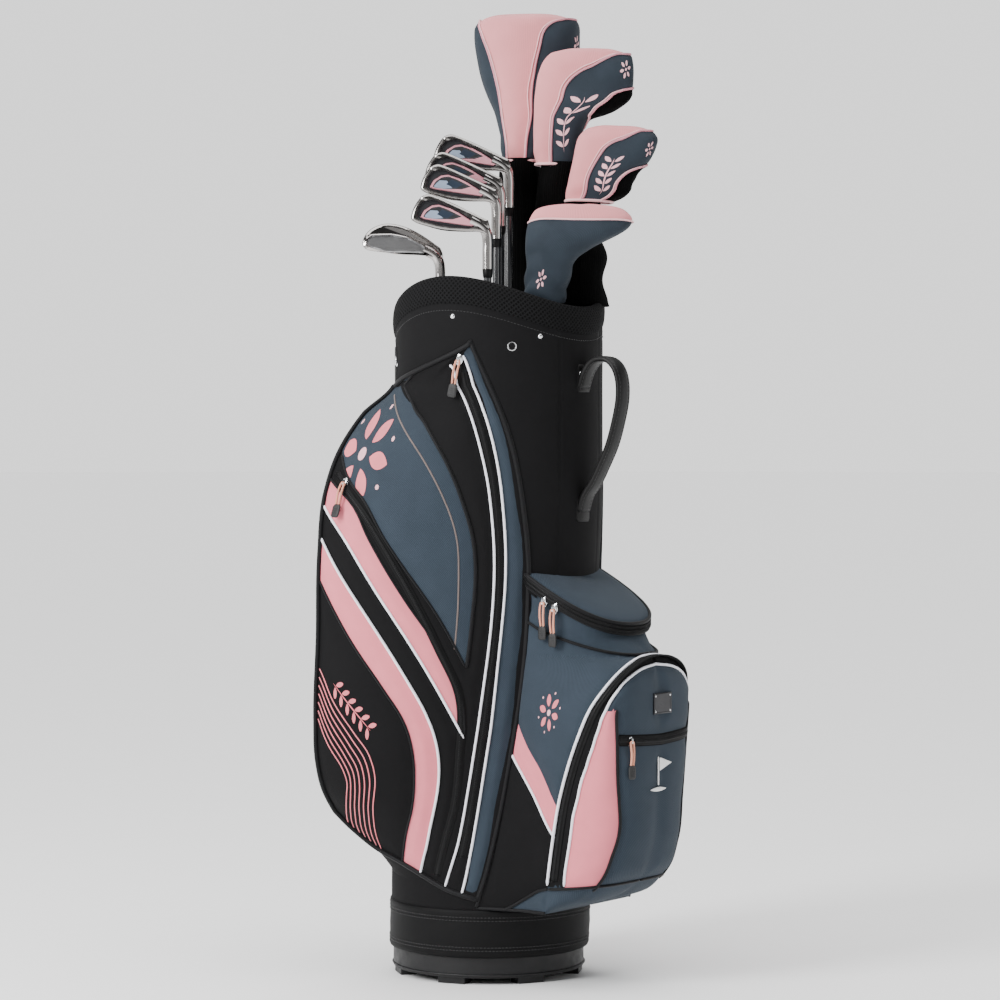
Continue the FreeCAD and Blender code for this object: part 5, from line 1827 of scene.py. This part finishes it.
def stuff(obj, held, crown):
    """Lets the cloth swell over its padding between the seams that hold it down."""
    apply_modifiers(obj)
    tree = KDTree(len(held))
    for i, p in enumerate(held):
        tree.insert(Vector(p * MM), i)
    tree.balance()
    data = obj.data
    rest = np.array([v.co for v in data.vertices])
    gap = np.array([tree.find(Vector(p))[2] for p in rest]) / MM
    gap = np.minimum(gap, np.linalg.norm(rest / MM - crown, axis=1) - 9.0)
    group = obj.vertex_groups.new(name="seams")
    for i in np.nonzero(gap < 2.6)[0]:
        group.add([int(i)], 1.0, "REPLACE")
    cloth = obj.modifiers.new("cloth", "CLOTH")
    cloth.point_cache.frame_start, cloth.point_cache.frame_end = 1, SWELL_FRAMES
    setting = cloth.settings
    setting.quality = 6
    setting.mass = 0.25
    setting.use_pressure = True
    setting.uniform_pressure_force = 4.0
    setting.tension_stiffness = setting.compression_stiffness = 12.0
    setting.bending_stiffness = 0.4
    setting.vertex_group_mass = "seams"
    setting.effector_weights.gravity = 0.0
    for step in range(1, SWELL_FRAMES + 1):
        bpy.context.scene.frame_set(step)
    graph = bpy.context.evaluated_depsgraph_get()
    made = np.array([v.co for v in obj.evaluated_get(graph).to_mesh().vertices])
    obj.modifiers.clear()
    bpy.context.scene.frame_set(1)
    move = np.nan_to_num(made - rest)
    far = np.linalg.norm(move, axis=1)
    limit = SWELL_TRAVEL * MM * ease(gap, 0.0, 14.0)
    move *= (np.minimum(far, limit) / np.maximum(far, 1e-9))[:, None]
    data.vertices.foreach_set("co", (rest + move).ravel())
    obj.vertex_groups.clear()
    fine = obj.modifiers.new("subdivision", "SUBSURF")
    fine.levels = fine.render_levels = 1
    fine.boundary_smooth = "PRESERVE_CORNERS"


def make_cover(name):
    """Padded headcover with its pipings."""
    shape, top = cover_surface(name)
    low = COVER_LEVELS[name][0][0]
    reach = 0.8 if name == "driver" else 0.55
    scale = np.array([reach, 1.0])
    mid = shape(np.array([0.0, 180.0]), np.array([(low + top) / 2] * 2)).mean(0)
    surface = Surface(lambda a, b: shape(np.asarray(a, float) / reach, b), centre=mid[:2])
    lines, regions = cover_lines(name, low, top)
    lines = {key: line * scale for key, line in lines.items()}
    regions = [(np.asarray(polygon, float) * scale, look) for polygon, look in regions]
    left_end, right_end = TURN_LOW[name] * reach, (TURN_LOW[name] + 360) * reach
    high = top + CAP * 0.985
    outline = np.array([(left_end, low), (right_end, low), (right_end, high), (left_end, high)], float)
    seams = []
    for key, line in lines.items():
        keep = (line[:, 1] > low + 0.5) & (line[:, 0] > left_end + 0.5) & (line[:, 0] < right_end - 0.5)
        seams.append(line[keep])
    crease = 3.4 if name == "putter" else 0.9

    def relief(ab):
        p = surface.shape(ab[:, 0], ab[:, 1])
        fold = np.exp(-((ab[:, 1] - low - 8) / 30.0) ** 2) + 0.25
        phase = ab[:, 1] * 0.2 + 0.07 * p[:, 0] + 1.4 * np.sin(ab[:, 0] * 0.1) + 0.8
        return crease * fold * 0.5 * np.sin(phase)

    mesh = patch(surface, outline, seams, regions, step=4.0, puff=1.8, width=11.0, rough=1.3, relief=relief)
    body = name + "_headcover"
    obj = piece(name + "_cover_cloth", mesh, body, "cover_fabric", [COVER_SLATE, COVER_PINK, KNIT],
                weld=1.2, replaces=[name + "_cover"])
    held = [surface.at(line, 0.0) for line in seams]
    for level in (low, low + 3.0):
        turn = np.linspace(left_end, right_end, 120)
        held.append(surface.at(np.stack([turn, np.full_like(turn, level)], -1), 0.0))
    stuff(obj, np.vstack(held), surface.at(np.array([[0.0, high]]), 0.0))
    dark, light = Mesh(), Mesh()
    for key, line in lines.items():
        if key == "crown":
            sweep(surface.at(line[:-1], 0.7), round_profile(1.1), closed=True, mesh=light)
            continue
        keep = line[:, 1] >= low - 0.1
        sweep(surface.at(line[keep], 0.7), round_profile(1.4), mesh=dark, ends=0.5)
        toward = {"left": 2.6, "right": -2.6, "under_near": -2.2, "under_far": 2.2}[key] * (0.55
            / reach) ** 0.5
        beside = surface.at(line[keep] + np.array([toward, 0.0]), 0.9)
        sweep(beside, round_profile(0.8, 6), mesh=light, ends=0.5)
    if name != "putter":
        turn = np.linspace(left_end, right_end, 70)[:-1]
        hem = surface.at(np.stack([turn, np.full_like(turn, low + 1.0)], -1), 0.6)
        sweep(hem, round_profile(1.8), closed=True, mesh=light)
        piece(name + "_cover_piping", dark, body, "cover_fabric", [PIPE_PINK])
    piece(name + "_cover_piping_edge", light, body, "cover_fabric", [PIPE_LIGHT])
    return surface, reach


SOCKS = {
    "driver": (26.0, 832, 1008, 0.0), "fairway": (25.5, 838, 1002, 0.0), "hybrid": (22.0, 822, 956, 9.0),
}


def make_socks():
    """Knitted necks of the wood covers, gathered into soft rings."""
    for name, (radius, low, high, bunch) in SOCKS.items():
        place = club_place(name)
        pinch = 5.0 if name == "hybrid" else 2.0
        turn = np.linspace(0, 2 * math.pi, 65)[:-1]
        rows = []
        for z in np.linspace(low, high, 60):
            f = (z - low) / (high - low)
            base = radius + bunch * ease(1 - f, 0.25, 0.6) - pinch * ease(f, 0.75, 1.0)
            fold = math.sin(z * 0.115 + 0.6) * (0.5 + 0.22 * bunch)
            sway = 0.8 * np.sin(turn * 2 + z * 0.045) + 0.5 * np.sin(turn * 3 - z * 0.075 + 1)
            ring = base + fold + sway * (1 + 0.12 * bunch) + 0.18 * np.sin(turn * 16)
            edge = 1.6 * math.exp(-((z - low) / 3.0) ** 2)
            aside = 3.0 * ease(f, 0.8, 1.0) if name != "driver" else 1.0
            rows.append(place(aside + np.sin(turn) * (ring + edge), np.cos(turn) * (ring + edge) * 0.94,
                              np.full_like(turn, z)))
        piece(name + "_cover_sock", grid_mesh(rows, closed=True, outward=False), name + "_headcover",
              "cover_fabric", [KNIT], thick=1.6)


def cover_prints(name, made):
    """Plain flower and sprig printed on a cover's side panel."""
    surface, reach = made
    flowers = {"driver": (66, 1152, 13), "fairway": (50, 1117, 12.5), "hybrid": (52, 1016, 10.5),
               "putter": (-14, 852, 13)}
    sprigs = {"fairway": ((12, 1013), (0, 1082), 13.0, 5.4), "hybrid": ((3, 958), (1, 1003), 10.5, 4.6)}
    angle, z, radius = flowers[name]
    centre = (angle * reach, z)
    mesh = prints(surface, rosette((0, 0), radius, 6, 15), 0.35, centre=centre, stretch=(0.55, 1.0),
                  step=1.6)
    mesh.join(prints(surface, [disc((0, 0), radius * 0.16, 12)], 0.5, centre=centre, stretch=(0.55, 1.0),
                     step=1.2))
    if name in sprigs:
        foot, tip, length, width = sprigs[name]
        centre = ((foot[0] + tip[0]) / 2 * reach, (foot[1] + tip[1]) / 2)
        half = ((tip[0] - foot[0]) / 2 * reach / 0.62, (tip[1] - foot[1]) / 2)
        outlines = sprig_outlines((-half[0], -half[1]), half, 5, length, width)
        mesh.join(prints(surface, outlines, 0.35, centre=centre, stretch=(0.62, 1.0), step=1.6))
    piece(name + "_cover_print", mesh, name + "_headcover", "cover_fabric", [PRINT_LIGHT])


def make_clubs():
    make_blades()
    make_woods()
    make_grips()
    bevelled("putter_head", "putter_head_metal", "putter", CAST, 1.2)
    for name in ("driver", "fairway", "hybrid", "putter"):
        cover_prints(name, make_cover(name))
    make_socks()


# ---------------------------------------------------------- setting and camera

CAMERA_AWAY, CAMERA_HEIGHT, CAMERA_AIM, CAMERA_ASIDE = 4200, 705, 583, 14.2
CAMERA_LENS = 122.22


def kept_finishes():
    """Finishes for the CAD nodes that stay in view."""
    looks = {"top_ring": MOULDED}
    for node_name, cad in frame["nodes"].items():
        if cad.hide_render:
            continue
        look = looks.get(node_name)
        if look is None:
            look = GRIP if node_name.endswith("_grip") else SHAFT if node_name.endswith("_shaft") else BLACK
        cad.data.materials.clear()
        cad.data.materials.append(look)


def islands(node_name):
    """Corner points of each separate solid in a CAD node, in the same order every run."""
    work = bmesh.new()
    work.from_mesh(frame["nodes"][node_name].data)
    bmesh.ops.remove_doubles(work, verts=work.verts, dist=0.00001)
    seen, groups = set(), []
    for first in work.verts:
        if first in seen:
            continue
        seen.add(first)
        stack, group = [first], []
        while stack:
            vert = stack.pop()
            group.append(vert)
            for edge in vert.link_edges:
                other = edge.other_vert(vert)
                if other not in seen:
                    seen.add(other)
                    stack.append(other)
        groups.append(np.array([v.co for v in group]) / MM)
    work.free()
    return sorted(groups, key=lambda group: tuple(group.mean(0).round(1)))


QUILT = 34      # spacing of the pad's sewn channels


def make_lining():
    """Hanging cloth walls between the clubs, hemmed along their tops, and the quilted floor pad."""
    cloth, hems = Mesh(), Mesh()
    for k, part in enumerate(islands("divider_panels")):
        size = part.max(0) - part.min(0)
        thin = 0 if size[0] < size[1] else 1
        wide = 1 - thin
        middle = part[:, thin].mean()
        low, high = part[:, 2].min(), part[:, 2].max()
        foot, head = part[part[:, 2] < low + 40], part[part[:, 2] > high - 40]
        rows = []
        for z in np.linspace(low, high, 70):
            f = (z - low) / (high - low)
            first = foot[:, wide].min() * (1 - f) + head[:, wide].min() * f
            last = foot[:, wide].max() * (1 - f) + head[:, wide].max() * f
            across = np.linspace(first, last, 20)
            sag = 0.8 * math.sin(math.pi * f) * np.sin(across * 0.06 + z * 0.012 + k) - 0.5
            row = np.zeros((20, 3))
            row[:, wide], row[:, thin], row[:, 2] = across, middle + sag, z
            rows.append(row)
        grid_mesh(rows, mesh=cloth)
        top = np.array(rows[-1]) - np.array([0, 0, 4.0])
        out = np.zeros(3)
        out[thin] = 1.0
        sweep(top, flat_profile(7.0, 1.9), ups=np.tile(out, (20, 1)), mesh=hems)
    piece("divider_cloth", cloth, "bag", "divider_fabric", [LINING], thick=0.9, replaces=["divider_panels"])
    piece("divider_hems", hems, "bag", "divider_fabric", [NYLON])
    low, high = (np.array(v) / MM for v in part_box("floor_pad"))
    radius = (high[0] - low[0]) / 2
    centre = np.array([(low[0] + high[0]) / 2, (low[1] + high[1]) / 2, 0.0])
    turn = np.linspace(0, 2 * math.pi, 145)[:-1]
    rows = []
    profile = [(1.0, 0.35), (1.0, 0.7), (0.985, 0.88), (0.95, 1.0)]
    profile += [(share, 1.0) for share in np.linspace(0.92, 0.01, 40)]
    for share, rise in profile:
        x, y = radius * share * np.cos(turn), radius * share * np.sin(turn)
        channel = sum(np.exp(-(np.minimum(v % QUILT, QUILT - v % QUILT) / 3.0) ** 2) for v in (x, y))
        dip = 1.6 * np.minimum(channel, 1.0) * (rise >= 1.0)
        rows.append(centre + points(x, y, low[2] + (high[2] - low[2]) * rise - dip))
    pad = piece("floor_pad_foam", grid_mesh(rows, closed=True), "bag", "foam", [FOAM],
                replaces=["floor_pad"])
    bevelled("top_divider_walls", "top_divider_moulding", "bag", MOULDED, 0.7)


def aimed(name, data, place, target):
    """A lamp or camera at a place in metres, facing a target."""
    obj = link(name, data)
    obj.location = Vector(place)
    obj.rotation_euler = (Vector(target) - Vector(place)).to_track_quat("-Z", "Y").to_euler()
    return obj


def area_light(name, place, aim, size, power):
    data = bpy.data.lights.new(name, "AREA")
    data.shape = "RECTANGLE"
    data.size, data.size_y = size
    data.energy = power
    aimed(name, data, place, aim)


def make_floor():
    """Wide pale disc, finely divided near the bag."""
    look = new_look("floor_white", (0.90, 0.90, 0.90), 0.7, specular=0.2)
    mist = node(look, "TexNoise", {"Vector": solid_place(look), "Scale": 9.0, "Detail": 3.0})
    finish(look, mist.outputs["Fac"], 0.0001, (0.99, 1.01))
    rings = [0.0005, 0.4, 1.0, 2.5, 6.0, 14.0, 30.0]
    floor = lathe(np.zeros(3), -UP, [(r / MM, 0.0) for r in rings], 64)
    data = bpy.data.meshes.new("floor")
    data.from_pydata((np.vstack(floor.points) * MM).tolist(), [], floor.faces)
    data.materials.append(look)
    link("floor", data)


def make_world():
    """Studio surroundings: a bright backdrop, dimmer walls in front and a soft bright ceiling."""
    world = bpy.data.worlds.new("studio")
    world.use_nodes = True
    tree = world.node_tree
    place = tree.nodes.new("ShaderNodeTexCoord")
    split = tree.nodes.new("ShaderNodeSeparateXYZ")
    ramp = tree.nodes.new("ShaderNodeValToRGB")
    tree.links.new(place.outputs["Generated"], split.inputs[0])
    tree.links.new(split.outputs["Z"], ramp.inputs["Fac"])
    levels = [(0.0, 1.0), (0.20, 1.0), (0.34, 0.13), (0.74, 0.10), (0.86, 0.42), (1.0, 0.5)]
    while len(ramp.color_ramp.elements) < len(levels):
        ramp.color_ramp.elements.new(0.5)
    for element, (height, light) in zip(ramp.color_ramp.elements, levels):
        element.position = height
        element.color = (light, light, light, 1)
    back = tree.nodes["Background"]
    tree.links.new(ramp.outputs[0], back.inputs["Color"])
    facing = tree.nodes.new("ShaderNodeVectorMath")
    facing.operation = "DOT_PRODUCT"
    tree.links.new(place.outputs["Generated"], facing.inputs[0])
    facing.inputs[1].default_value = tuple(-NEAR)
    strength = tree.nodes.new("ShaderNodeMapRange")
    for key, value in (("From Min", -0.6), ("From Max", 0.75), ("To Min", 0.45), ("To Max", 1.46)):
        strength.inputs[key].default_value = value
    tree.links.new(facing.outputs["Value"], strength.inputs["Value"])
    tree.links.new(strength.outputs[0], back.inputs["Strength"])
    bpy.context.scene.world = world


def make_setting():
    make_floor()
    make_world()
    sky = bpy.data.lights.new("overhead", "SUN")
    sky.energy = 4.2
    sky.angle = math.radians(80)
    link("overhead", sky).location = (0, 0, 4)
    aim = (0, 0, 0.6)
    area_light("key", tuple(-SIDE * 2.3 + NEAR * 1.9 + UP * 1.9), aim, (1.1, 1.8), 150.0)
    area_light("fill", tuple(SIDE * 2.4 + NEAR * 1.6 + UP * 1.3), aim, (0.8, 1.6), 9.0)
    shift = SIDE * CAMERA_ASIDE
    lens = bpy.data.cameras.new("camera")
    lens.lens = CAMERA_LENS
    lens.clip_start, lens.clip_end = 0.1, 60.0
    place = (NEAR * CAMERA_AWAY + UP * CAMERA_HEIGHT + shift) * MM
    bpy.context.scene.camera = aimed("camera", lens, place, (shift + UP * CAMERA_AIM) * MM)


make_base()
make_band()
make_tube()
make_cuff()
make_side_pockets()
make_column()
make_door()
make_cooler()
make_handle()
make_pulls()
make_clubs()
make_lining()
make_setting()
kept_finishes()
